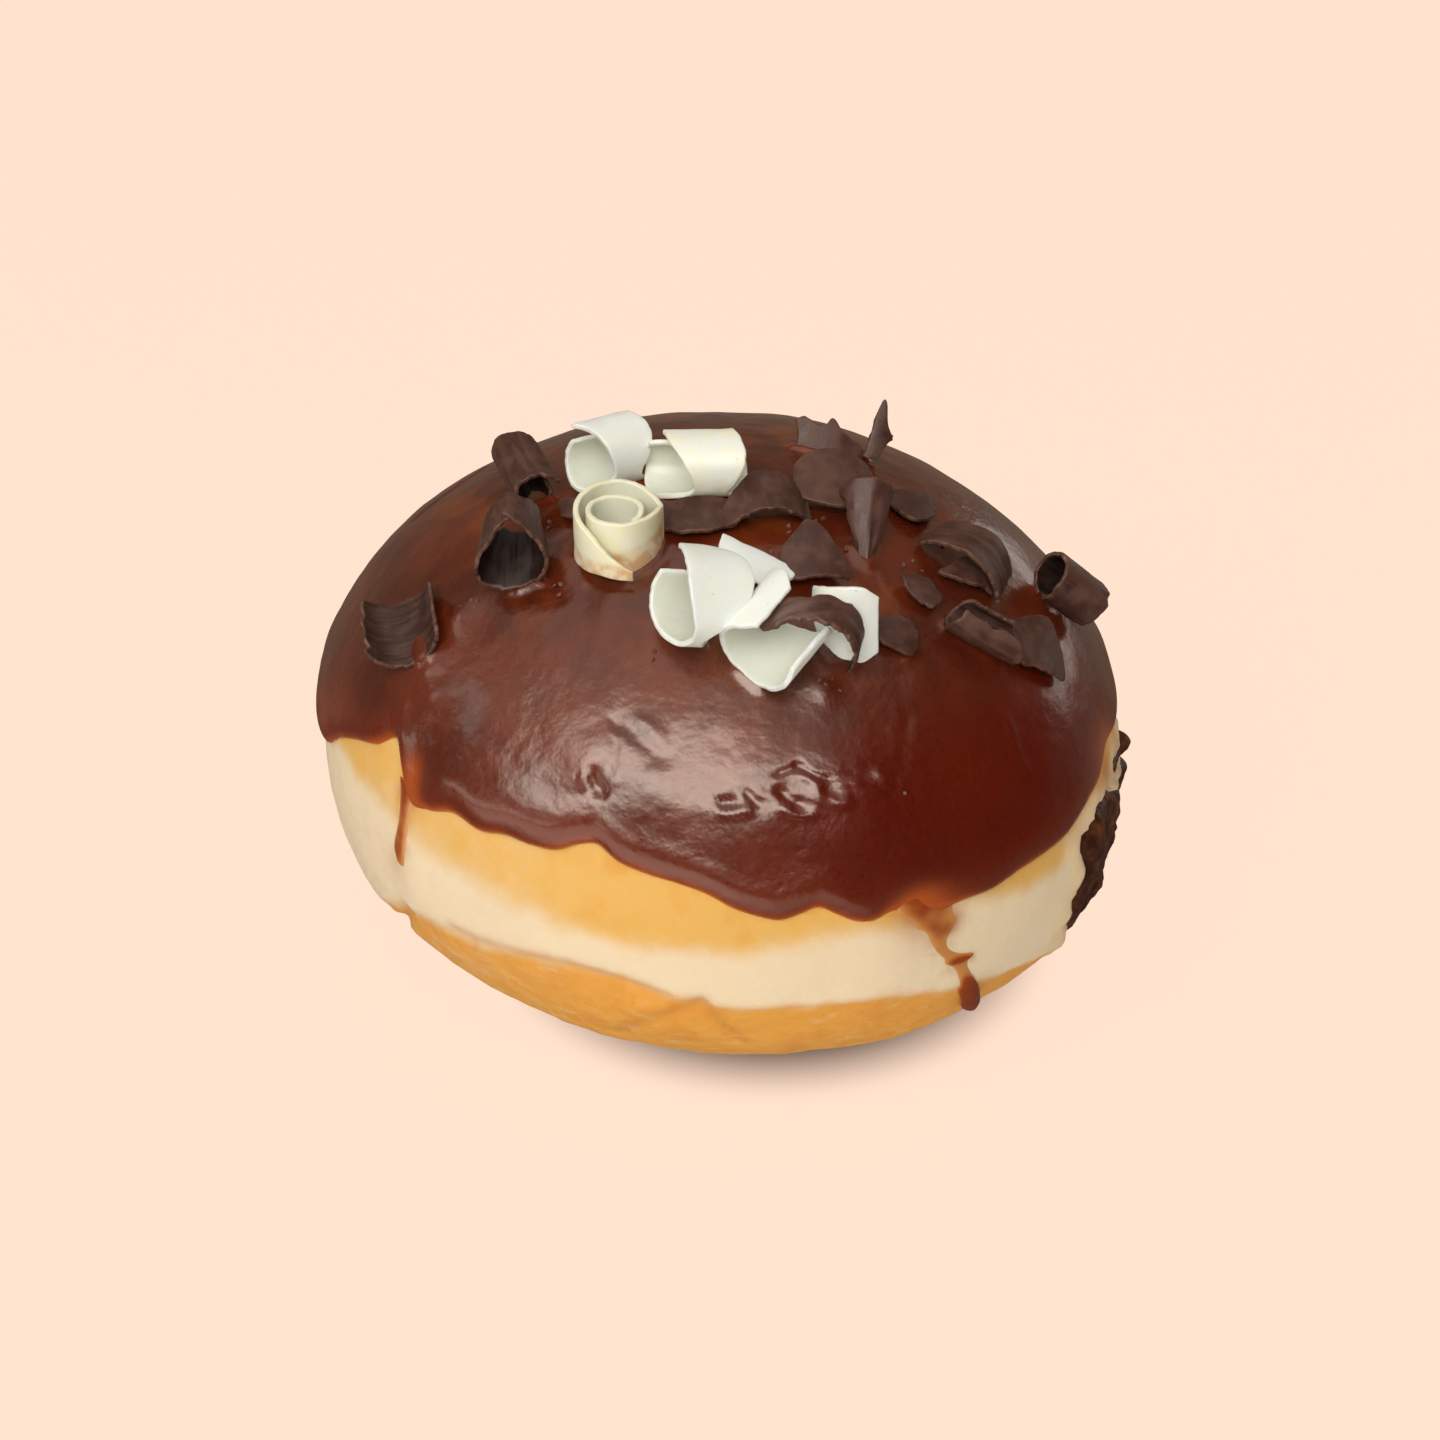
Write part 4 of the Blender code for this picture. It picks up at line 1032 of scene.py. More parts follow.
    # The bead along the edge: its plain measures, and what they gain round one azimuth and its spread
    WIDE_BEAD = (-127, 16)
    BEAD_HEIGHT = 0.22 * MM
    BEAD_GROWTH = 1.2
    BEAD_PLACE = (2.7 * MM, 1.5 * MM)
    BEAD_WIDTH = (1.6 * MM, 1.2 * MM)
    BEAD_BASE = 0.8
    BEAD_LUMPS = Lumps(9 * MM, 0.5, 1, 0.05)
    # Where light comes through: how fast with depth, and as a line and a patch at the edge; and a painted
    # highlight, a faint lighter band along the bead
    CLEAR_DEPTH = 0.24 * MM
    ZONE_DEPTHS = (0.35 * MM, 1.2 * MM)
    ZONE_CLEARNESS = 0.8
    RIM_LINE = (0.75 * MM, 0.9)
    RIM_BASE = 0.8
    RIM_LUMPS = Lumps(4 * MM, 0.4, 2)
    PAINTED_BEAD_SHEEN = (1.8 * MM, 2.2 * MM, 0.10)
    LEFT_RIM = Zone(-166, 12, 64, 78, strength=0.4)
    LEFT_RIM_BASE = 0.6
    LEFT_RIM_LUMPS = Lumps(3 * MM, 0.5, 2)
    # The pale film at thin places, the amber crown, the red low parts and the roughness
    FILM_DEPTHS = (0.02 * MM, 0.16 * MM)
    CROWN_DOWNS = (30, 52)
    RED_AZIMUTHS = ((-92, -70), (-24, -8))
    RED_DOWNS = (46, 66)
    LOW_RED = (60, 76, 0.55)
    RIM_RED = (1.0 * MM, 2.2 * MM, 0.9)
    ROUGHNESS = 0.20
    CROWN_ROUGHNESS = (30, 50, 0.10)
    # The runs below the coat
    RUN_WOBBLE = Lumps(2.2 * MM, 0.12, 2)
    RUN_LUMPS = Lumps(1.6 * MM, 0.15, 2)
    RUN_SINK = 0.1 * MM
    RUN_DEPTH = 0.35 * MM
    RUN_CLEAR = (0.30, 0.70, 0.40 * MM)
    RUN_FILM = (0.06 * MM, 0.34 * MM, 0.7)
    RUN_ROUGHNESS = 0.24

    def __init__(self) -> None:
        """Sets up the coat's lumps."""
        self.broad, self.small = Noise(31), Noise(32)

    def edge(self, azimuth: np.ndarray) -> np.ndarray:
        """Returns the edge's down angle at azimuths in degrees."""
        return BUN.down_at_level(round_curve(self.EDGE_LEVEL, azimuth))

    def plain_height(self, down: np.ndarray, azimuth: np.ndarray) -> np.ndarray:
        """Returns the coat's thickness away from edge and wrinkles."""
        skin = BUN.on(down, azimuth)
        height = np.full(skin.shape[:-1], self.THICKNESS)
        for swell in self.SWELLS:
            height = height + swell.height * swell.nearness(skin)
        return height

    def thin_zones(self, down: np.ndarray, azimuth: np.ndarray) -> np.ndarray:
        """Returns 0 to 1 for the places where the coat runs out thin and orange."""
        return np.clip(sum(zone.share(down, azimuth) for zone in self.THIN_ZONES), 0, 1)

    def feet(self, points: np.ndarray, contacts: np.ndarray) -> np.ndarray:
        """Returns how near places are to where shavings stand in the glaze, from 0 to 1."""
        tree = KDTree(len(contacts))
        for index, contact in enumerate(contacts):
            tree.insert(contact, index)
        tree.balance()
        flat = points.reshape(-1, 3)
        reach = np.array([tree.find(place)[2] for place in flat])
        return bell(reach / self.FOOT_WIDTH).reshape(points.shape[:-1])

    def build(self, contacts: np.ndarray) -> bpy.types.Object:
        """Returns the coat's mesh.

        Args:
            contacts: Places where the shavings meet the glaze.

        Returns:
            The coat.
        """
        azimuth = np.linspace(0, 360, self.SIDES, endpoint=False)
        near_edge = np.array(self.EDGE_STEPS) * MM / self.ARC
        even = np.linspace(1 - near_edge[-1], 0, self.EVEN_ROWS)[1:-1]
        shares = np.concatenate([1 - near_edge, even])[::-1]
        share, azimuth = np.meshgrid(shares, azimuth, indexing="ij")
        edge = self.edge(azimuth)
        down = edge * share
        from_edge = (1 - share) * self.ARC * edge / self.PLAIN_EDGE
        height = self.height(down, azimuth, from_edge, contacts)
        top = BUN.on(0.0, 0.0, self.THICKNESS)
        under = [
            BUN.on(edge[0] * step, azimuth[0], -self.UNDER_DEPTH)
            for step in np.linspace(self.UNDER_START, 0, self.UNDER_ROWS + 1)[:-1]
        ]
        middle = BUN.on(0.0, 0.0, -self.UNDER_DEPTH)
        points = np.vstack([top, BUN.on(down, azimuth, height).reshape(-1, 3), *under, middle])
        layers = {}
        for name, layer in self.layers(down, azimuth, from_edge, height).items():
            hidden = np.full(len(under) * self.SIDES + 1, layer.mean())
            layers[name] = np.concatenate([[layer[0, 0]], layer.ravel(), hidden])
        return make_piece("glaze_coat", points, ring_faces(len(shares) + len(under), self.SIDES), layers)

    def height(
        self, down: np.ndarray, azimuth: np.ndarray, from_edge: np.ndarray, contacts: np.ndarray
    ) -> np.ndarray:
        """Returns the coat's height over the bun.

        Args:
            down: Down angles of places.
            azimuth: Azimuths of the same places.
            from_edge: Their distances from the edge.
            contacts: Places where the shavings meet the glaze.

        Returns:
            The heights.
        """
        base = BUN.on(down, azimuth)
        thin_zone = self.thin_zones(down, azimuth)
        height = self.plain_height(down, azimuth) * (1 - self.THIN_ZONE_LOSS * thin_zone)
        height += self.BROAD_LUMPS.over(self.broad, base) + self.SMALL_LUMPS.over(self.small, base)
        near = base + BUN.normal(np.radians(down), np.radians(azimuth)) * self.THICKNESS
        sway = self.SWAY.sway(self.small, near, self.SWAY_APART)
        for wrinkle in self.WRINKLES:
            height += wrinkle.height * wrinkle.nearness(near + self.WRINKLE_SWAY * sway, self.THICKNESS)
        turn = turned(azimuth)
        crumpled = sum(
            strength * bell((turn - at_azimuth) / spread) * bell((down - at_down) / reach)
            for at_azimuth, spread, at_down, reach, strength in self.CRUMPLES
        )
        ridges = 1 - np.abs(self.CRUMPLE_RIDGES.over(self.small, base + self.CRUMPLE_SWAY * sway))
        height += self.CRUMPLE * crumpled * (ridges**3 - self.CRUMPLE_BASE)
        height += self.FOOT_HEIGHT * self.feet(near, contacts)
        wide = bell((turn - self.WIDE_BEAD[0]) / self.WIDE_BEAD[1])
        bead_place, bead_width = (plain + more * wide for plain, more in (self.BEAD_PLACE, self.BEAD_WIDTH))
        bead = bell((from_edge - bead_place) / bead_width) * (1 - thin_zone)
        bead *= self.BEAD_BASE + self.BEAD_LUMPS.over(self.broad, base)
        height += self.BEAD_HEIGHT * (1 + self.BEAD_GROWTH * wide) * bead
        shoulder = np.clip(from_edge / self.EDGE_WIDTH, 0, 1)
        return height * np.sqrt(1 - (1 - shoulder) ** self.EDGE_ROUNDNESS)

    def layers(
        self, down: np.ndarray, azimuth: np.ndarray, from_edge: np.ndarray, height: np.ndarray
    ) -> dict[str, np.ndarray]:
        """Returns the coat's layers of colour and its roughness.

        Args:
            down: Down angles of places.
            azimuth: Azimuths of the same places.
            from_edge: Their distances from the edge.
            height: The coat's height there.

        Returns:
            Values of each layer.
        """
        base = BUN.on(down, azimuth)
        turn = turned(azimuth)
        thin_zone = self.thin_zones(down, azimuth)
        thin = np.exp(-height / self.CLEAR_DEPTH)
        thin += self.ZONE_CLEARNESS * thin_zone * (1 - smooth_step(height, *self.ZONE_DEPTHS))
        width, strength = self.RIM_LINE
        thin += strength * bell(from_edge / width) * (self.RIM_BASE + self.RIM_LUMPS.over(self.small, base))
        # Painted highlight: a faint lighter band along the bead, where its sheen falls
        place, width, strength = self.PAINTED_BEAD_SHEEN
        thin += strength * bell((from_edge - place) / width)
        uneven = self.LEFT_RIM_BASE + self.LEFT_RIM_LUMPS.over(self.small, base)
        thin = np.maximum(thin, self.LEFT_RIM.share(down, azimuth) * uneven)
        starts, ends = self.RED_AZIMUTHS
        red = smooth_step(turn, *starts) * (1 - smooth_step(turn, *ends)) * smooth_step(down, *self.RED_DOWNS)
        low, high, strength = self.LOW_RED
        red = np.maximum(red, smooth_step(down, low, high) * strength)
        place, width, strength = self.RIM_RED
        red = np.maximum(red, bell((from_edge - place) / width) * strength)
        low, high, rise = self.CROWN_ROUGHNESS
        return {
            "thin": np.clip(thin, 0, 1),
            "red": red,
            "satin": self.ROUGHNESS + rise * smooth_step(down, low, high),
            "film": (1 - smooth_step(height, *self.FILM_DEPTHS)) * thin_zone,
            "crown": 1 - smooth_step(down, *self.CROWN_DOWNS),
        }

    def build_run(self, run: Run, dough: Dough) -> bpy.types.Object:
        """Returns one run of glaze on the dough's surface."""
        stations = np.array(run.stations)
        at = np.arange(len(stations), dtype=float)
        where = np.linspace(0, len(stations) - 1, run.steps)
        azimuth, down, width, rise = (curve_through(at, column, where)[:, None] for column in stations.T)
        across = np.linspace(-1, 1, run.columns)
        wobble = 1 + self.RUN_WOBBLE.over(self.small, BUN.on(down[:, 0], azimuth[:, 0]))[:, None]
        around = azimuth + np.degrees(across * width * wobble * MM / BUN.radius)
        down = down + 0 * around
        dome = np.sqrt(np.clip(1 - across**2, 0, 1))
        lumps = 1 + self.RUN_LUMPS.over(self.small, BUN.on(down, around))
        height = rise * MM * dome * lumps - self.RUN_SINK
        height[[0, -1]] = -self.RUN_SINK
        relief = dough.surface(down, around)[0]
        outer = BUN.on(down, around, relief + height).reshape(-1, 3)
        inner = BUN.on(down, around, relief - self.RUN_DEPTH).reshape(-1, 3)
        height = np.tile(np.clip(height, 0, None).ravel(), 2)
        least, more, depth = self.RUN_CLEAR
        low, high, strength = self.RUN_FILM
        none = np.zeros(len(height))
        layers = {
            "thin": least + more * np.exp(-height / depth),
            "film": strength * (1 - smooth_step(height, low, high)),
            "red": none,
            "crown": none,
            "satin": none + self.RUN_ROUGHNESS,
        }
        return make_piece(run.name, np.vstack([inner, outer]), sheet_faces(run.steps, run.columns), layers)


@dataclass(frozen=True)
class Shaving:
    """A chocolate shaving: a thin sheet rolled about an axis. Stage lengths are in mm.

    Each stage is a line along the axis: its angle round the axis in degrees, its radius, and how
    far it goes back and forward from the middle. The axis is at lift over the glaze. It points
    along heading and up by tilt, in the world if rolled and over the glaze if flat.
    """

    name: str
    azimuth: float
    down: float
    lift: float
    heading: float
    tilt: float
    stages: tuple[tuple[float, float, float, float], ...]
    kind: Kind = Kind.FLAT
    flare: float = 0.0
    ribs: Ribs = Ribs.NONE
    tint: float = 0.3
    ragged: float = 0.25
    orange_reach: float = 0.0
    rib_height: float = 0.08


ROLL = Kind.ROLLED
WHITE_THICKNESS, WHITE_RAGGED, WHITE_SEED = 0.62 * MM, 0.35, 100
DARK_THICKNESS, DARK_RAGGED, DARK_SEED = 0.50 * MM, 1.0, 200
WHITE_SHAVINGS = (
    Shaving("white_curl_1", -167.5, 11.9, 3.5, -150, 0, (
        (150, 2.7, -3.5, 3.0), (180, 2.9, -4.0, 3.5), (225, 3.1, -4.2, 3.9), (270, 3.2, -4.3, 3.9),
        (305, 3.4, -3.6, 2.6), (340, 3.5, -2.5, 0.9), (380, 3.6, -3.6, 1.2), (410, 3.6, -4.2, 1.7),
        (440, 3.7, -4.0, 2.5), (470, 3.9, -3.2, 3.6),
    ), ROLL, tint=0.15),
    Shaving("white_curl_2", -97, 6.8, 3.3, 178, -3, (
        (115, 2.6, -4.5, 4.8), (160, 2.8, -5.2, 5.4), (200, 2.9, -5.4, 5.6), (250, 3.0, -5.6, 5.7),
        (290, 3.1, -5.0, 4.4), (320, 3.2, -3.5, 0.8), (350, 3.2, -4.6, 0.1), (390, 3.3, -5.7, 1.0),
        (430, 3.4, -5.3, 2.4), (472, 3.7, -4.2, 3.4),
    ), ROLL, tint=0.4),
    Shaving("white_curl_3", -120, 21.4, 2.5, 61, 90, (
        (-200, 2.1, -1.6, 2.0), (-140, 2.3, -2.2, 2.4), (-61, 2.8, -2.8, 2.6), (0, 3.3, -3.0, 2.6),
        (60, 3.5, -3.2, 2.6), (119, 3.6, -3.2, 2.6), (165, 3.7, -3.2, 2.7), (209, 4.1, -3.2, 2.6),
        (240, 4.8, -2.5, 2.0), (270, 4.7, -2.8, 3.0), (299, 4.6, -2.9, 3.6), (345, 4.6, -2.9, 3.5),
        (389, 4.7, -3.0, 2.7), (440, 4.8, -3.1, 1.4), (474, 5.1, -3.2, -1.0), (494, 5.5, -3.2, -2.2),
    ), ROLL, tint=0.75, orange_reach=2.4),
    Shaving("white_curl_4", -90.5, 34, 4.6, -160, 15, (
        (160, 3.8, -1.5, 3.5), (200, 4.0, -2.0, 4.0), (235, 4.2, -2.5, 3.8), (270, 4.5, -2.2, 3.1),
        (300, 4.8, -0.5, 2.2), (330, 4.9, 0.2, 1.8), (370, 5.0, -2.6, 2.9), (400, 5.1, -3.6, 3.6),
        (430, 5.2, -3.5, 3.5), (455, 5.2, -2.2, 3.2), (475, 5.2, -0.2, 2.9),
    ), ROLL, tint=0.15),
    Shaving("white_curl_5", -75.5, 25.3, 1.5, -33, 0, (
        (74, 8, -4.8, 4.2), (84, 8, -4.4, 4.8), (94, 8, -3.6, 3.6), (104, 8, -2.6, 3.8),
    ), tint=-0.1),
    Shaving("white_curl_6", -76.5, 39.8, 4.7, 46, 27, (
        (-168, 4.1, -2.6, 3.4), (-140, 4.2, -3.8, 4.0), (-90, 4.2, -4.5, 3.6), (-45, 4.2, -4.4, 3.0),
        (0, 4.2, -4.0, 3.6), (45, 4.2, -3.8, 4.8), (80, 4.2, -3.4, 4.6), (105, 4.1, -2.4, 3.2),
    ), ROLL, tint=0.1),
    Shaving("white_curl_7", -58, 37.0, 1.9, 90, 80, (
        (10, 4.2, 0.6, 3.2), (40, 4.2, -2.0, 3.6), (70, 4.2, -3.6, 4.0), (100, 4.2, -4.0, 4.0),
        (125, 4.2, -3.2, 2.8),
    ), ROLL, tint=0.2),
)
DARK_SHAVINGS = (
    Shaving("dark_curl_1", -178.5, 23.2, 2.4, -69, -10, (
        (25, 2.7, -3.0, 4.4), (90, 2.5, -4.6, 4.2), (180, 2.3, -4.8, 3.8), (270, 2.1, -4.6, 3.6),
        (390, 1.6, -3.0, 4.0),
    ), ROLL, ribs=Ribs.ALONG),
    Shaving("dark_curl_2", -143, 31.2, 4.2, -88, -22, (
        (84, 4.2, -3.6, 0.4), (100, 3.6, -3.7, 0.8), (135, 3.0, -3.8, 1.8), (180, 3.2, -3.8, 2.6),
        (218, 4.1, -3.8, 3.2), (270, 3.2, -3.6, 3.4), (312, 3.3, -3.6, 3.2), (350, 3.2, -3.8, 2.8),
        (405, 3.1, -3.8, 2.0), (440, 3.9, -3.6, 1.0), (462, 4.6, -3.2, 0.2),
    ), ROLL, flare=0.05, ribs=Ribs.ALONG, ragged=0.35),
    Shaving("dark_curl_3", -154.3, 51.0, 1.7, -95, 0, (
        (176, 4.1, -4.4, 3.8), (215, 4.1, -4.7, 4.4), (260, 4.0, -4.7, 4.7), (298, 4.1, -4.4, 4.7),
        (324, 4.3, -3.8, 4.0),
    ), ribs=Ribs.ROUND, ragged=0.32, tint=0.25, rib_height=0.03),
    Shaving("dark_curl_4", -10.5, 54.9, 2.8, -163, 42, (
        (-80, 2.5, -3.4, 2.6), (0, 2.5, -3.6, 3.4), (90, 2.5, -3.6, 3.8), (180, 2.4, -3.2, 3.6),
        (265, 2.4, -3.4, 3.0),
    ), ROLL, ribs=Ribs.ALONG, tint=0.4),
    Shaving("dark_curl_5", -57.5, 14.5, 1.8, -82, -4, (
        (42, 6.2, -1.2, 2.4), (65, 6.2, -3.4, 3.0), (90, 6.2, -3.6, 2.8), (115, 6.2, -2.2, 3.2),
        (138, 6.2, 0.6, 3.4),
    ), tint=0.35),
    Shaving("dark_curl_6", -34.5, 25.2, 2.0, 97, 25, (
        (5, 1.7, -3.0, 4.2), (50, 1.7, -4.6, 4.7), (95, 1.7, -4.7, 4.6), (140, 1.7, -4.4, 4.7),
        (185, 1.7, -2.4, 3.6),
    ), flare=0.15, ribs=Ribs.ALONG, tint=0.45, ragged=0.4, rib_height=0.16),
    Shaving("dark_curl_7", -21.5, 38.6, 1.9, -105, 0, (
        (28, 6, -3.4, 3.2), (60, 6, -3.6, 3.2), (90, 6, -3.2, 3.0), (120, 6, -2.4, 2.6),
        (150, 6, -0.8, 1.6),
    ), ribs=Ribs.ROUND, tint=0.3),
    Shaving("dark_curl_8", -35.7, 47.9, 2.0, -11, 0, (
        (125, 2.1, -3.4, 3.4), (160, 2.1, -4.2, 4.4), (200, 2.1, -4.2, 4.6), (270, 2.1, -3.8, 4.2),
        (330, 2.1, -3.4, 3.8), (375, 2.1, -2.2, 3.0),
    ), ribs=Ribs.ALONG, tint=0.35),
    Shaving("dark_curl_9", -72.0, 43.6, 4.4, -75, -10, (
        (-34, 5.4, -0.4, 0.6), (-10, 5.4, -1.7, 1.5), (20, 5.4, -2.0, 1.6), (50, 5.1, -2.2, 1.2),
        (85, 4.6, -2.4, 0.2), (110, 4.4, -2.6, -0.6), (135, 4.5, -2.8, -1.0), (150, 4.6, -2.4, -1.4),
    ), ROLL, flare=-0.09, ribs=Ribs.ROUND, tint=0.3, ragged=0.4, rib_height=0.11),
    Shaving("dark_flake_1", -92, 13.7, 0.7, 90, 0, (
        (76, 18, -2.2, 2.4), (90, 18, -3.2, 3.0), (104, 18, -1.6, 2.6),
    )),
    Shaving("dark_flake_2", -21.8, 17.3, 2.2, 90, 14, (
        (60, 9, -1.2, 1.6), (68, 9, -3.4, 3.3), (90, 9, -4.4, 4.4), (112, 9, -3.4, 3.4),
        (120, 9, -1.0, 1.8),
    ), tint=0.6, ragged=0.15),
    Shaving("dark_flake_3", -58.3, 26.6, 1.8, 90, 8, (
        (65, 9, -1.3, 0.5), (74, 9, -3.6, 2.3), (81, 9, -3.9, 4.0), (91, 9, -3.4, 3.5),
        (103, 9, -3.0, 1.2), (114, 9, -2.6, -1.4),
    ), tint=0.4, ragged=0.15),
    Shaving("dark_flake_4", 25.7, 18.6, 1.2, 95, 55, (
        (62.5, 9, -2.4, 1.1), (67.5, 9, -2.4, 1.6), (73.5, 9, -2.4, 1.0), (83, 9, -2.4, 0.8),
        (88, 9, -2.4, 1.7), (95, 9, -2.4, 0.3), (106, 9, -2.4, -0.6), (117, 9, -2.4, -1.3),
    ), tint=0.4),
    Shaving("dark_flake_5", 20, 25.3, 3.0, 90, 72, (
        (74, 3, -3.2, 1.0), (82, 3, -3.4, 3.4), (92, 3, -3.4, 3.2), (104, 3, -3.2, 1.2),
        (116, 3, -1.2, 0.2), (129, 3, -0.6, -0.1),
    ), tint=0.3, ragged=0.15),
    Shaving("dark_flake_6", -10, 28.4, 0.8, 90, 0, (
        (78, 14, -0.8, 1.6), (84, 14, -2.6, 2.6), (90, 14, -3.2, 3.0), (97, 14, -2.0, 3.2),
        (102, 14, 0.2, 2.4),
    ), tint=0.2),
    Shaving("dark_flake_7", -25.5, 40.5, 0.9, 90, 0, (
        (67, 9, -1.3, -0.7), (73, 9, -1.6, 0.2), (86, 9, -1.8, 2.4), (95, 9, -1.4, 2.0),
        (103, 9, -1.1, 1.2), (114.5, 9, -0.8, -0.1),
    ), ribs=Ribs.ROUND, tint=0.35),
    Shaving("dark_flake_8", -38.5, 37.6, 0.9, -10, 0, (
        (60, 4, -0.8, 0.5), (80, 4, -2.4, 1.6), (98, 4, -1.9, 2.4), (118, 4, 0.2, 1.6),
    )),
    Shaving("dark_flake_9", -26, 55.6, 0.9, 90, 0, (
        (70.5, 12, -0.5, 1.0), (74, 12, -1.8, 1.9), (80.5, 12, -4.4, 3.2), (90, 12, -3.6, 4.3),
        (97, 12, -3.1, 3.0), (104, 12, -2.4, 1.4), (111, 12, -1.5, -1.0),
    ), tint=0.3, ragged=0.15),
    Shaving("dark_flake_10", -51.2, 42.3, 0.8, 60, 0, (
        (70, 7, -1.8, 0.8), (85, 7, -2.2, 2.2), (100, 7, -1.6, 1.9), (112, 7, -0.6, 0.5),
    )),
    Shaving("dark_flake_11", -152.5, 20.0, 0.8, -75, 0, (
        (66, 3.0, -1.2, 1.4), (90, 3.0, -2.0, 2.0), (112, 3.0, -1.6, 0.8),
    )),
)


class Skin:
    """Finds how high places stand over the bun's skin."""

    ROWS = 150
    SIDES = 420
    FIRST_DOWN = 0.3
    LOWEST_DOWN = 80.0

    def __init__(self) -> None:
        """Samples the bun's crown."""
        down = np.linspace(self.FIRST_DOWN, self.LOWEST_DOWN, self.ROWS)
        azimuth = np.linspace(0, 360, self.SIDES, endpoint=False)
        down, azimuth = (values.ravel() for values in np.meshgrid(down, azimuth, indexing="ij"))
        self.points = BUN.on(down, azimuth)
        self.normals = BUN.normal(np.radians(down), np.radians(azimuth))
        self.tree = KDTree(len(self.points))
        for index, point in enumerate(self.points):
            self.tree.insert(point, index)
        self.tree.balance()

    def heights(self, places: np.ndarray) -> np.ndarray:
        """Returns each place's height over the skin."""
        nearest = np.array([self.tree.find(place)[1] for place in places])
        return np.sum((places - self.points[nearest]) * self.normals[nearest], axis=-1)


@dataclass(frozen=True)
class Sheet:
    """A shaving's sheet as grids, with a row for each turn and a column for each place along the axis.

    Attributes:
        along: Distances along the axis.
        angles: Turns round the axis, in radians.
        radius: Distances from the axis.
        from_rim: Distances from the sheet's rim.
        place: Places on the flat sheet, for its marks and lumps.
    """

    along: np.ndarray
    angles: np.ndarray
    radius: np.ndarray
    from_rim: np.ndarray
    place: np.ndarray


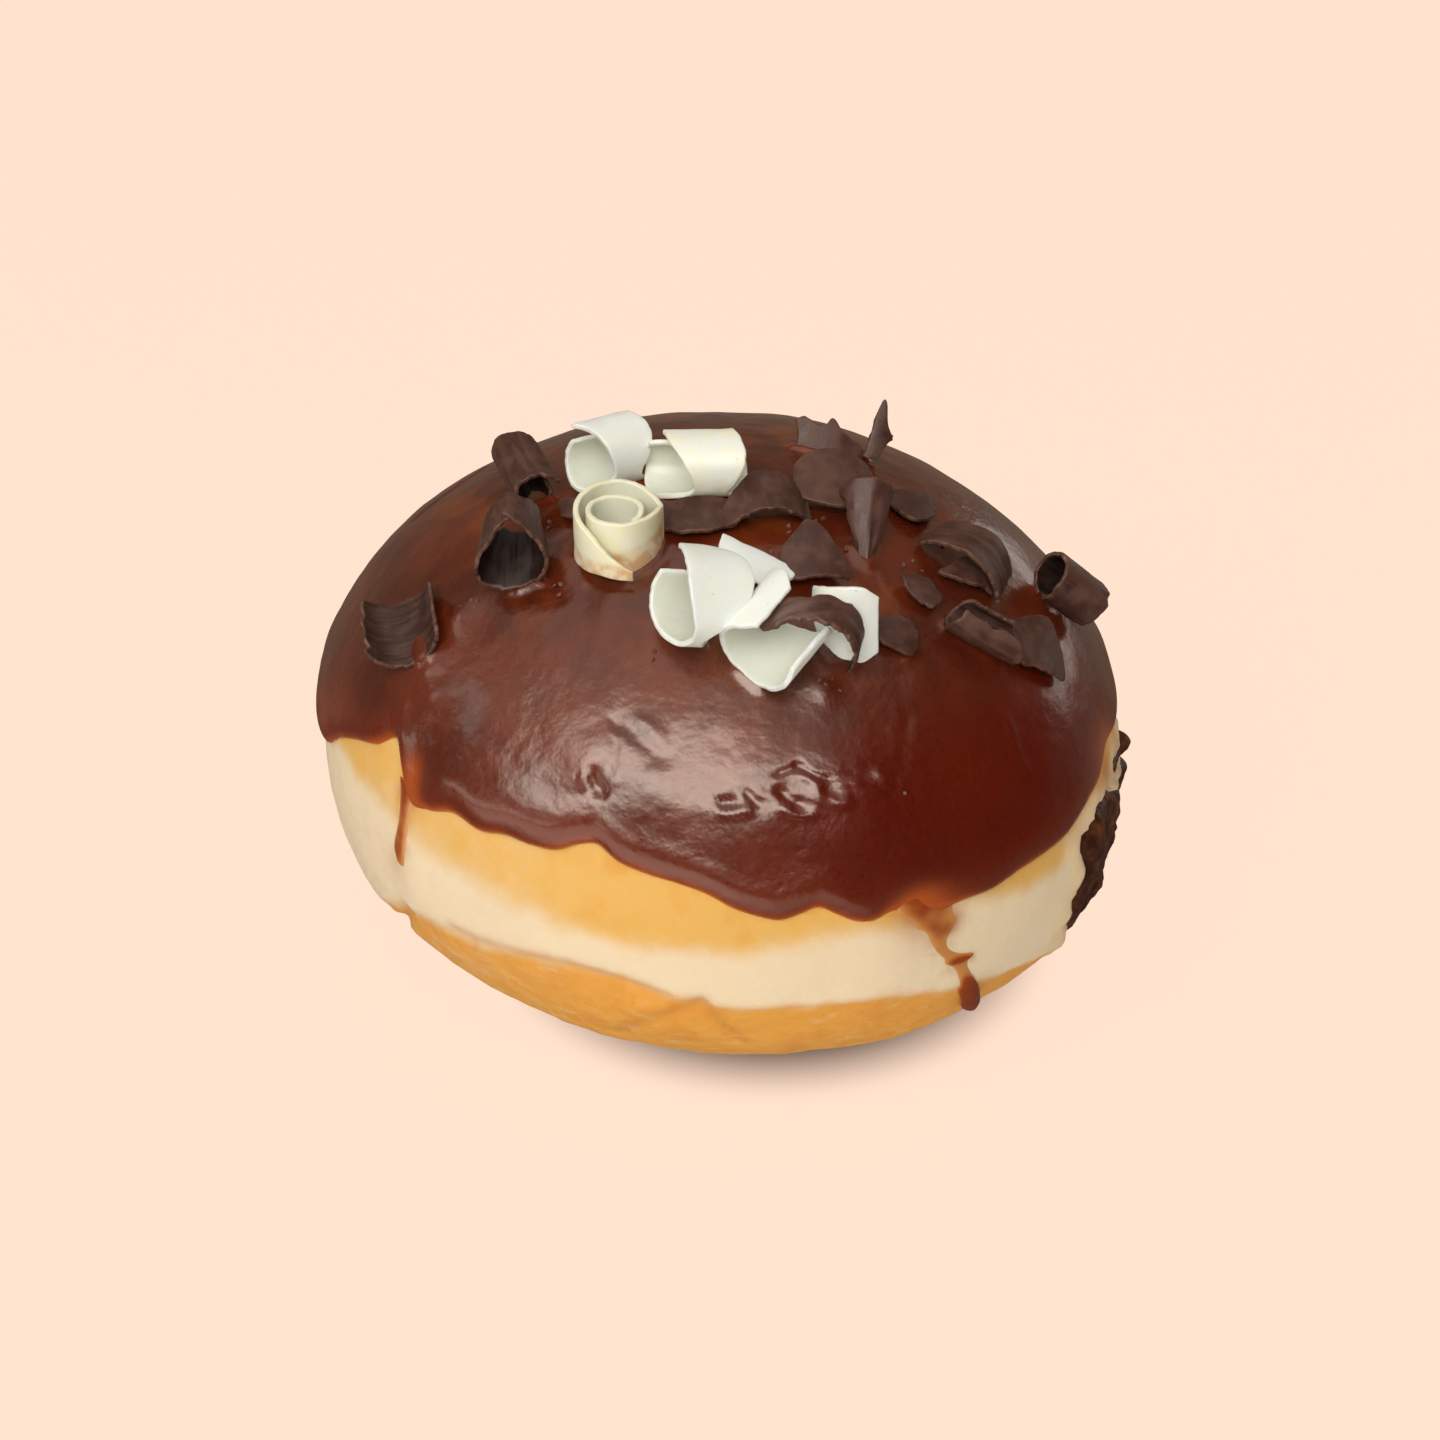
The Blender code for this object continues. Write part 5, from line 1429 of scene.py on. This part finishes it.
class Shavings:
    """All shavings of one chocolate."""

    # Mesh: the step between its rows and columns, and its rim's columns in shares of a step
    STEP = 0.17 * MM
    COARSE_TURN = 28.0
    LEAST_COLUMNS = 12
    LEAST_LENGTH = 0.3
    EDGE_PLACES = (0.0, 0.05, 0.14, 0.28)
    # Ragged sides and ends
    SIDE_JAG = 1.1 * MM
    END_JAG = 1.2 * MM
    END_JAG_STRENGTH = 1.2
    END_SHARE = 0.25
    # Relief, and the rim's rounding in shares of the thickness
    PLAIN_RIBS = 0.03 * MM
    WARP = Lumps(3.5 * MM, 0.10 * MM, 2, 0.02)
    ROUNDING = 0.3
    RIM_THICKNESS = 0.55
    RIM_WIDTH = 0.35
    # Near the glaze
    TOUCH = 0.35 * MM
    FOOT_TOP = 2.2 * MM
    FOOT_END = 1.2 * MM
    # Painted shade on the inner walls: how strongly each kind of shaving is darkened
    INNER_SHADE = {Kind.ROLLED: 1.0, Kind.FLAT: 0.4}
    RIB_STRETCH = {Ribs.ALONG: (0.12, 1.0, 1.0), Ribs.ROUND: (1.0, 0.12, 1.0), Ribs.NONE: (0.3, 1.0, 1.0)}
    RIB_STRENGTH = {Ribs.ALONG: 1.6, Ribs.ROUND: 1.6, Ribs.NONE: 0.5}
    RIB_SPACING = 0.62 * MM
    # Places in the noise that the raggedness and the marks are taken from
    SIDE_PLACE = 0.1
    FRONT_SHIFT = 0.05
    END_PLACE = 0.3
    END_SHIFT = 0.02
    MARK_SHIFT = 0.07

    def __init__(
        self, shavings: Sequence[Shaving], thickness: float, ragged: float, glaze: Glaze, skin: Skin
    ) -> None:
        """Keeps what the shavings are made from.

        Args:
            shavings: The shavings.
            thickness: Thickness of a sheet.
            ragged: How much of each shaving's raggedness shows.
            glaze: The coat that they stand on.
            skin: The bun's skin.
        """
        self.shavings = shavings
        self.thickness = thickness
        self.ragged = ragged
        self.glaze = glaze
        self.skin = skin
        self.contacts: list[np.ndarray] = []

    def smooth_stages(self, shaving: Shaving) -> np.ndarray:
        """Returns a shaving's stages with rounded ones between, a step of the mesh apart."""
        def count(here: np.ndarray, there: np.ndarray) -> int:
            """Returns the number of steps between two stages."""
            arc = math.radians(there[0] - here[0]) * there[1] * MM
            return max(2, round(arc / self.STEP))

        return smooth_between(np.array(shaving.stages, float), count)

    def axes(self, shaving: Shaving) -> tuple[np.ndarray, np.ndarray]:
        """Returns a shaving's axes, in columns, and its middle."""
        normal = Vector(BUN.normal(np.radians(shaving.down), np.radians(shaving.azimuth)))
        height = self.glaze.plain_height(np.array(shaving.down), np.array(shaving.azimuth))
        place = Vector(BUN.on(shaving.down, shaving.azimuth, height))
        heading = math.radians(shaving.heading)
        level = Vector((math.cos(heading), math.sin(heading), 0))
        over = normal if shaving.kind is Kind.FLAT else Vector((0, 0, 1))
        along = (level - over * level.dot(over)).normalized()
        axes = Matrix((along, over.cross(along), over)).transposed()
        axes = axes @ Matrix.Rotation(-math.radians(shaving.tilt), 3, "Y")
        return np.array(axes), np.array(place + normal * shaving.lift * MM)

    def sheet(self, shaving: Shaving, noise: Noise) -> Sheet:
        """Returns a shaving's sheet with ragged sides and ends.

        Args:
            shaving: Its shape.
            noise: The lumps that its raggedness is taken from.

        Returns:
            The sheet.
        """
        turn, radius, back, front = self.smooth_stages(shaving).T
        angle, radius = np.radians(turn), radius * MM
        arc = np.concatenate([[0], np.cumsum(np.diff(angle) * (radius[1:] + radius[:-1]) / 2)])
        columns = max(self.LEAST_COLUMNS, int((front - back).max() * MM / self.STEP))
        *rim, inmost = np.array(self.EDGE_PLACES) * 2 / columns
        across = np.concatenate([rim, np.linspace(inmost, 1 - inmost, columns), 1 - np.array(rim)[::-1]])
        jag = shaving.ragged * self.ragged * MM
        row_place = np.stack([arc, 0 * arc, 0 * arc + self.SIDE_PLACE], axis=-1)
        low = np.minimum(back, front - self.LEAST_LENGTH) * MM + jag * noise.at(row_place, self.SIDE_JAG, 3)
        high = front * MM + jag * noise.at(row_place + self.FRONT_SHIFT, self.SIDE_JAG, 3)
        along = low[:, None] * (1 - across) + high[:, None] * across
        end_place = np.stack([along[0], 0 * along[0], 0 * along[0] + self.END_PLACE], axis=-1)
        from_start = arc / max(arc[-1], 1e-6)
        pull = np.zeros(along.shape)
        for way, shift in ((from_start, 0.0), (1 - from_start, self.END_SHIFT)):
            end_jag = jag * self.END_JAG_STRENGTH * noise.at(end_place + shift, self.END_JAG, 3)
            pull = pull + np.clip(1 - way / self.END_SHARE, 0, 1)[:, None] * end_jag
        from_side = np.minimum(along - low[:, None], high[:, None] - along)
        return Sheet(
            along,
            angle[:, None] + pull / radius[:, None],
            radius[:, None] * (1 + shaving.flare * along / MM),
            np.minimum(from_side, np.minimum(arc, arc[-1] - arc)[:, None]),
            np.stack([along, arc[:, None] + 0 * along, 0 * along], axis=-1),
        )

    def build_one(self, shaving: Shaving, seed: int) -> bpy.types.Object:
        """Returns one shaving's mesh.

        Args:
            shaving: Its shape.
            seed: Number that fixes its roughness.

        Returns:
            The shaving.
        """
        noise = Noise(seed)
        sheet = self.sheet(shaving, noise)
        axes, place = self.axes(shaving)
        if shaving.kind is Kind.FLAT:
            place = place - axes @ self.middle(shaving) * MM
        streak = self.streaks(shaving.ribs, sheet.place, noise)
        rib_height = self.PLAIN_RIBS if shaving.ribs is Ribs.NONE else shaving.rib_height * MM
        warp = self.WARP.over(noise, sheet.place) + rib_height * streak
        rounding = np.clip(sheet.from_rim / (self.ROUNDING * self.thickness), 0, 1)
        round_share = (1 - self.RIM_THICKNESS) * np.sqrt(1 - (1 - rounding) ** 2)
        half = self.thickness / 2 * (self.RIM_THICKNESS + round_share)
        walls = []
        for side in (-1, 1):
            reach = sheet.radius + warp + side * half
            local = [sheet.along, reach * np.cos(sheet.angles), reach * np.sin(sheet.angles)]
            walls.append((np.stack(local, axis=-1) @ axes.T + place).reshape(-1, 3))
        points = np.vstack(walls)
        heights = self.skin.heights(points)
        self.contacts.append(points[np.abs(heights - self.glaze.THICKNESS) < self.TOUCH])
        rim = np.tile(bell(sheet.from_rim / (self.RIM_WIDTH * self.thickness)).ravel(), 2)
        layers = {
            "rim": rim,
            "streak": np.tile(0.5 + 0.5 * streak.ravel(), 2),
            "tint": np.full(len(points), shaving.tint),
            # Painted shade: the inner wall, away from the rim, takes the finish's shaded colour
            "inner": np.repeat([self.INNER_SHADE[shaving.kind], 0.0], len(points) // 2) * (1 - rim),
            # Orange brown low on the curl, near the bun's skin, up to a height set for each shaving
            "foot": smooth_step(shaving.orange_reach * MM - heights, -self.FOOT_TOP, -self.FOOT_END),
        }
        return make_piece(shaving.name + "_fine", points, sheet_faces(*streak.shape), layers)

    def middle(self, shaving: Shaving) -> np.ndarray:
        """Returns the middle of a shaving's coarse stages, in mm."""
        def count(here: np.ndarray, there: np.ndarray) -> int:
            """Returns the number of steps between two stages."""
            return max(1, round((there[0] - here[0]) / self.COARSE_TURN))

        turn, radius, back, front = smooth_between(np.array(shaving.stages, float), count).T
        across, up = radius * np.cos(np.radians(turn)), radius * np.sin(np.radians(turn))
        return np.array([np.mean(back + front) / 2, np.mean(across), np.mean(up)])

    def streaks(self, ribs: Ribs, places: np.ndarray, noise: Noise) -> np.ndarray:
        """Returns the scraper's marks, about -1 to 1."""
        stretched = places * np.array(self.RIB_STRETCH[ribs])
        marks = self.RIB_STRENGTH[ribs] * noise.at(stretched + self.MARK_SHIFT, self.RIB_SPACING, 2)
        return np.clip(marks, -1, 1)

    def build(self, first_seed: int) -> list[bpy.types.Object]:
        """Returns all the shavings' meshes."""
        return [self.build_one(shaving, first_seed + index) for index, shaving in enumerate(self.shavings)]


class Crumbs:
    """Chocolate crumbs round the shavings, set on the glaze by a node tree.

    Each cluster has an azimuth, a down angle, a spread in degrees and a number of crumbs.
    """

    CLUSTERS = (
        (-46, 20, 1.6, 10), (-49, 23, 1.6, 10), (-55, 20, 1.0, 5), (-17, 18, 1.2, 4), (178, 26, 1.0, 3),
        (-154, 23, 0.8, 3), (-157, 48, 1.2, 5), (-146, 41.5, 1.0, 5), (-66, 46, 1.2, 4), (-70, 24, 1.2, 4),
        (-30, 46, 1.5, 4), (-35, 34, 1.5, 4), (-129, 32.5, 0.8, 3), (-100, 40, 0.8, 2), (-14, 33, 1.5, 4),
        (-62, 65.4, 0.2, 1),
    )
    CONTROLS = {"Crumb Radius": 0.34 * MM, "Least Share": 0.35, "Roughness": 0.35, "Seed": 5}
    LAYERS = {"rim": 0.7, "streak": 0.5, "tint": 1.0}
    SUBDIVISIONS = 2
    GRAIN_SIZE = 0.5 * MM
    GRAIN_HEIGHT = 1.0 * MM
    SEED = 41
    LEAST_REACH = 0.2
    LIFT = 0.05 * MM

    def __init__(self, glaze: Glaze) -> None:
        """Keeps the coat that the crumbs lie on."""
        self.glaze = glaze

    def tree(self, material: bpy.types.Material) -> bpy.types.GeometryNodeTree:
        """Returns the node tree that puts a crumb on each point."""
        tree = bpy.data.node_groups.new("crumbs_on_points", "GeometryNodeTree")
        face = tree.interface
        face.new_socket("Geometry", in_out="INPUT", socket_type="NodeSocketGeometry")
        for name, value in self.CONTROLS.items():
            kind = "NodeSocketInt" if isinstance(value, int) else "NodeSocketFloat"
            face.new_socket(name, in_out="INPUT", socket_type=kind).default_value = value
        face.new_socket("Geometry", in_out="OUTPUT", socket_type="NodeSocketGeometry")
        g = Nodes(tree)
        given = g.add("NodeGroupInput", {}).outputs
        ball = g.add(
            "GeometryNodeMeshIcoSphere", {"Subdivisions": self.SUBDIVISIONS, "Radius": given["Crumb Radius"]}
        )
        turn = g.add(
            "FunctionNodeRandomValue", {1: (math.tau,) * 3, "Seed": given["Seed"]}, data_type="FLOAT_VECTOR"
        )
        size = g.add(
            "FunctionNodeRandomValue", {0: given["Least Share"], 1: (1.0,) * 3, "Seed": given["Seed"]},
            data_type="FLOAT_VECTOR",
        )
        put = g.add("GeometryNodeInstanceOnPoints", {
            "Points": given["Geometry"], "Instance": ball.outputs["Mesh"],
            "Rotation": turn.outputs[0], "Scale": size.outputs[0],
        })
        real = g.add("GeometryNodeRealizeInstances", {0: put.outputs[0]})
        grain = g.add("ShaderNodeTexNoise", {"Scale": 1 / self.GRAIN_SIZE})
        middle = g.add(
            "ShaderNodeVectorMath", {0: grain.outputs["Color"], 1: (0.5,) * 3}, operation="SUBTRACT"
        )
        amount = g.times(given["Roughness"], self.GRAIN_HEIGHT)
        scaled = g.add("ShaderNodeVectorMath", {}, operation="SCALE")
        g.put(scaled, 0, middle.outputs[0])
        g.put(scaled, "Scale", amount)
        shift = g.add("GeometryNodeSetPosition", {"Geometry": real.outputs[0], "Offset": scaled.outputs[0]})
        dress = g.add("GeometryNodeSetMaterial", {"Geometry": shift.outputs[0], "Material": material})
        g.add("NodeGroupOutput", {0: dress.outputs[0]})
        return tree

    def build(self, material: bpy.types.Material) -> bpy.types.Object:
        """Returns the crumbs as one plain mesh."""
        rng = np.random.default_rng(self.SEED)
        places = []
        for azimuth, down, spread, count in self.CLUSTERS:
            offset = rng.normal(0, spread, (count, 2))
            downs = down + offset[:, 0]
            azimuths = azimuth + offset[:, 1] / max(math.sin(math.radians(down)), self.LEAST_REACH)
            places.append(BUN.on(downs, azimuths, self.glaze.plain_height(downs, azimuths) + self.LIFT))
        points = np.vstack(places)
        holder = make_piece("chocolate_crumbs", points, [], {})
        modifier = holder.modifiers.new("crumbs", "NODES")
        modifier.node_group = self.tree(material)
        for item in modifier.node_group.interface.items_tree:
            if item.name in self.CONTROLS:
                modifier[item.identifier] = self.CONTROLS[item.name]
        holder.update_tag()
        graph = bpy.context.evaluated_depsgraph_get()
        mesh = bpy.data.meshes.new_from_object(holder.evaluated_get(graph))
        holder.modifiers.clear()
        holder.data = mesh
        for name, value in self.LAYERS.items():
            store = mesh.attributes.new(name, "FLOAT", "POINT")
            store.data.foreach_set("value", np.full(len(mesh.vertices), value, np.float32))
        return holder


@dataclass(frozen=True)
class SoftLight:
    """A soft studio light: its direction and distance from the bun, size, brightness and colour."""

    name: str
    azimuth: float
    elevation: float
    distance: float
    size: tuple[float, float]
    brightness: float
    shown_in_gloss: bool = True
    shown_in_diffuse: bool = True
    colour: Colour = (1.0, 0.96, 0.90)


@dataclass(frozen=True)
class Studio:
    """The floor, the lights, the surroundings and the camera."""

    floor_colour: Colour = (0.05, 0.039, 0.031)
    floor_glow: Colour = (0.99, 0.742, 0.597)
    # A painted shadow on the floor under the bun: its centre, inner and outer radii, and its darkest share of
    # the glow
    shade_centre: tuple[float, float] = (6.0 * MM, -1.0 * MM)
    shade_inner: float = 22.0 * MM
    shade_outer: float = 35.0 * MM
    shade: float = 0.07
    floor_size: float = 60.0
    card: tuple[tuple[float, float], ...] = ((-0.25, -0.24), (0.04, -0.24), (0.04, -0.045), (-0.25, -0.045))
    card_fade: tuple[float, float] = (-0.046, -0.085)
    card_side_fade: tuple[float, float] = (0.03, -0.03)
    card_glow: float = 2.1
    card_right_share: float = 0.45
    card_colour: Colour = (1.0, 0.88, 0.80)
    overhead: Colour = (1.0, 0.95, 0.88)
    overhead_slope: float = -0.12
    overhead_rise: tuple[float, float] = (0.66, 0.95)
    behind_rise: tuple[float, float] = (-0.2, 0.6)
    below_fall: tuple[float, float] = (-0.30, -0.55)
    low_behind: Colour = (0.20, 0.155, 0.115)
    low_ahead: Colour = (0.024, 0.015, 0.010)
    below: Colour = (0.10, 0.08, 0.07)
    focal_length: float = 77.2
    elevation: float = 31.0
    distance: float = 0.36
    aim_offset: float = 1.75 * MM
    lights: tuple[SoftLight, ...] = (
        SoftLight("window_low", -108.0, 33.0, 0.9, (0.95, 0.17), 5.2),
        SoftLight("window_high", -103.0, 47.0, 0.9, (1.10, 0.28), 4.2),
        SoftLight("sheen", -112.0, 42.0, 0.88, (1.06, 0.56), 4.0, shown_in_diffuse=False),
        SoftLight("left_sheen", 179.0, 31.0, 0.8, (0.12, 0.20), 3.0, shown_in_diffuse=False),
        SoftLight("fill", -124.0, 20.0, 1.3, (1.2, 0.6), 0.58, False),
        SoftLight("bounce", 0.0, -90.0, 0.0, (0.8, 0.8), 0.9, False),
        SoftLight("right_window", 44.0, 8.0, 0.8, (0.55, 0.13), 2.0),
        SoftLight("left_strip", -151.0, 4.0, 0.7, (0.60, 0.10), 3.4, shown_in_diffuse=False),
    )

    def build(self) -> None:
        """Makes the floor, lights, surroundings and camera."""
        self.make_floor()
        self.make_card()
        self.make_surroundings()
        for light in self.lights:
            self.make_light(light)
        self.make_camera()

    def make_floor(self) -> None:
        """Makes a plain pale floor, with a painted shadow under the bun, that the glaze's gloss doesn't show.
        """
        half = self.floor_size / 2
        points = np.array([(-half, -half, 0), (half, -half, 0), (half, half, 0), (-half, half, 0)], float)
        floor = make_piece("floor", points, [(0, 1, 2, 3)], {})
        g = Graph("floor_paint")
        centre = (*self.shade_centre, 0.0)
        away = g.add("ShaderNodeVectorMath", {0: g.place(), 1: centre}, operation="DISTANCE")
        # Painted shadow: the floor's glow dims towards the bun's middle
        glow = g.rise(away.outputs["Value"], self.shade_inner, self.shade_outer, self.shade, 1.0)
        g.set(Base_Color=self.floor_colour, Roughness=0.9, Specular_IOR_Level=0.0)
        g.set(Emission_Color=self.floor_glow, Emission_Strength=glow)
        floor.data.materials.append(g.material)
        floor.visible_glossy = False
        floor.visible_diffuse = False

    def make_card(self) -> None:
        """Makes a bright card on the floor at the left, which only the glaze's lower edge shows."""
        points = np.array([(x, y, MM) for x, y in self.card])
        card = make_piece("left_card", points, [tuple(range(len(points)))], {})
        g = Graph("card_paint")
        g.set(Base_Color=(0.0, 0.0, 0.0), Specular_IOR_Level=0.0)
        x, y, _ = g.add("ShaderNodeSeparateXYZ", {0: g.place()}).outputs
        near, far = self.card_fade
        right, left = self.card_side_fade
        glow = g.rise(y, far, near, self.card_glow, 0.0)
        glow = g.times(glow, g.rise(x, left, right, 1.0, self.card_right_share))
        g.set(Emission_Color=self.card_colour, Emission_Strength=glow)
        card.data.materials.append(g.material)
        card.visible_camera = False
        card.visible_diffuse = False
        card.visible_shadow = False

    def make_surroundings(self) -> None:
        """Makes surroundings that are pale overhead and below, and dark ahead at eye level."""
        world = bpy.data.worlds.new("studio")
        bpy.context.scene.world = world
        world.use_nodes = True
        g = Nodes(world.node_tree)
        way = g.add("ShaderNodeTexCoord", {}).outputs["Generated"]
        x, y, z = g.add("ShaderNodeSeparateXYZ", {0: way}).outputs
        raised = g.plus(g.times(x, self.overhead_slope), z)
        colour = g.blend(g.rise(y, *self.behind_rise), self.low_ahead, self.low_behind)
        colour = g.blend(g.rise(z, *self.below_fall), colour, self.below)
        colour = g.blend(g.rise(raised, *self.overhead_rise), colour, self.overhead)
        g.put(g.nodes["Background"], "Color", colour)

    def make_light(self, light: SoftLight) -> None:
        """Makes one soft light that faces the bun."""
        data = bpy.data.lights.new(light.name, "AREA")
        data.shape = "RECTANGLE"
        data.size, data.size_y = light.size
        data.energy = light.brightness * math.pi * light.size[0] * light.size[1]
        data.color = light.colour
        thing = bpy.data.objects.new(light.name, data)
        azimuth, elevation = math.radians(light.azimuth), math.radians(light.elevation)
        flat = math.cos(elevation)
        way = Vector((math.cos(azimuth) * flat, math.sin(azimuth) * flat, math.sin(elevation)))
        middle = Vector((0, 0, BUN.widest_level if light.distance else MM / 2))
        thing.location = middle + way * light.distance
        thing.rotation_euler = (-way).to_track_quat("-Z", "Y").to_euler()
        thing.visible_glossy = light.shown_in_gloss
        thing.visible_diffuse = light.shown_in_diffuse
        thing.visible_camera = False
        bpy.context.scene.collection.objects.link(thing)

    def make_camera(self) -> None:
        """Makes the camera at the photograph's viewing angle."""
        data = bpy.data.cameras.new("camera")
        data.lens = self.focal_length
        data.clip_start = 0.01
        thing = bpy.data.objects.new("camera", data)
        rise = math.radians(self.elevation)
        up = Vector((0, math.sin(rise), math.cos(rise)))
        back = Vector((0, -math.cos(rise), math.sin(rise)))
        thing.location = Vector((0, 0, BUN.widest_level)) + back * self.distance + up * self.aim_offset
        thing.rotation_euler = (math.pi / 2 - rise, 0, 0)
        bpy.context.scene.collection.objects.link(thing)
        bpy.context.scene.camera = thing


def place_piece(
    piece: bpy.types.Object, nodes: Sequence[str], material: bpy.types.Material
) -> None:
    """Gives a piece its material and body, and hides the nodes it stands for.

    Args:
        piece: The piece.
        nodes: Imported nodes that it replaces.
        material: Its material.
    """
    piece.data.materials.clear()
    piece.data.materials.append(material)
    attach(piece, "root")
    if nodes:
        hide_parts(*nodes)
    LOG.info("%s: %d faces", piece.name, len(piece.data.polygons))


def main() -> None:
    """Builds the doughnut and its studio."""
    logging.basicConfig(level=logging.INFO, format="%(message)s")
    bpy.context.scene.view_settings.view_transform = "Standard"
    Studio().build()
    glaze, skin = Glaze(), Skin()
    white = Shavings(WHITE_SHAVINGS, WHITE_THICKNESS, WHITE_RAGGED, glaze, skin)
    dark = Shavings(DARK_SHAVINGS, DARK_THICKNESS, DARK_RAGGED, glaze, skin)
    white_finish, dark_finish = WhiteFinish().material(), DarkFinish().material()
    for shavings, seed, slot, finish in (
        (white, WHITE_SEED, Slot.WHITE, white_finish), (dark, DARK_SEED, Slot.DARK, dark_finish),
    ):
        for shaving, piece in zip(shavings.shavings, shavings.build(seed)):
            place_piece(piece, [shaving.name], finish)
    contacts = np.vstack(white.contacts + dark.contacts)
    glaze_finish = GlazeFinish().material()
    place_piece(glaze.build(contacts), ["chocolate_glaze"], glaze_finish)
    dough = Dough()
    for run in glaze.RUNS:
        place_piece(glaze.build_run(run, dough), [], glaze_finish)
    place_piece(dough.build(), ["dough"], DoughFinish().material())
    place_piece(Filling().build(), ["chocolate_filling"], FillingFinish().material())
    place_piece(Crumbs(glaze).build(dark_finish), [], dark_finish)


if __name__ == "__main__":
    main()
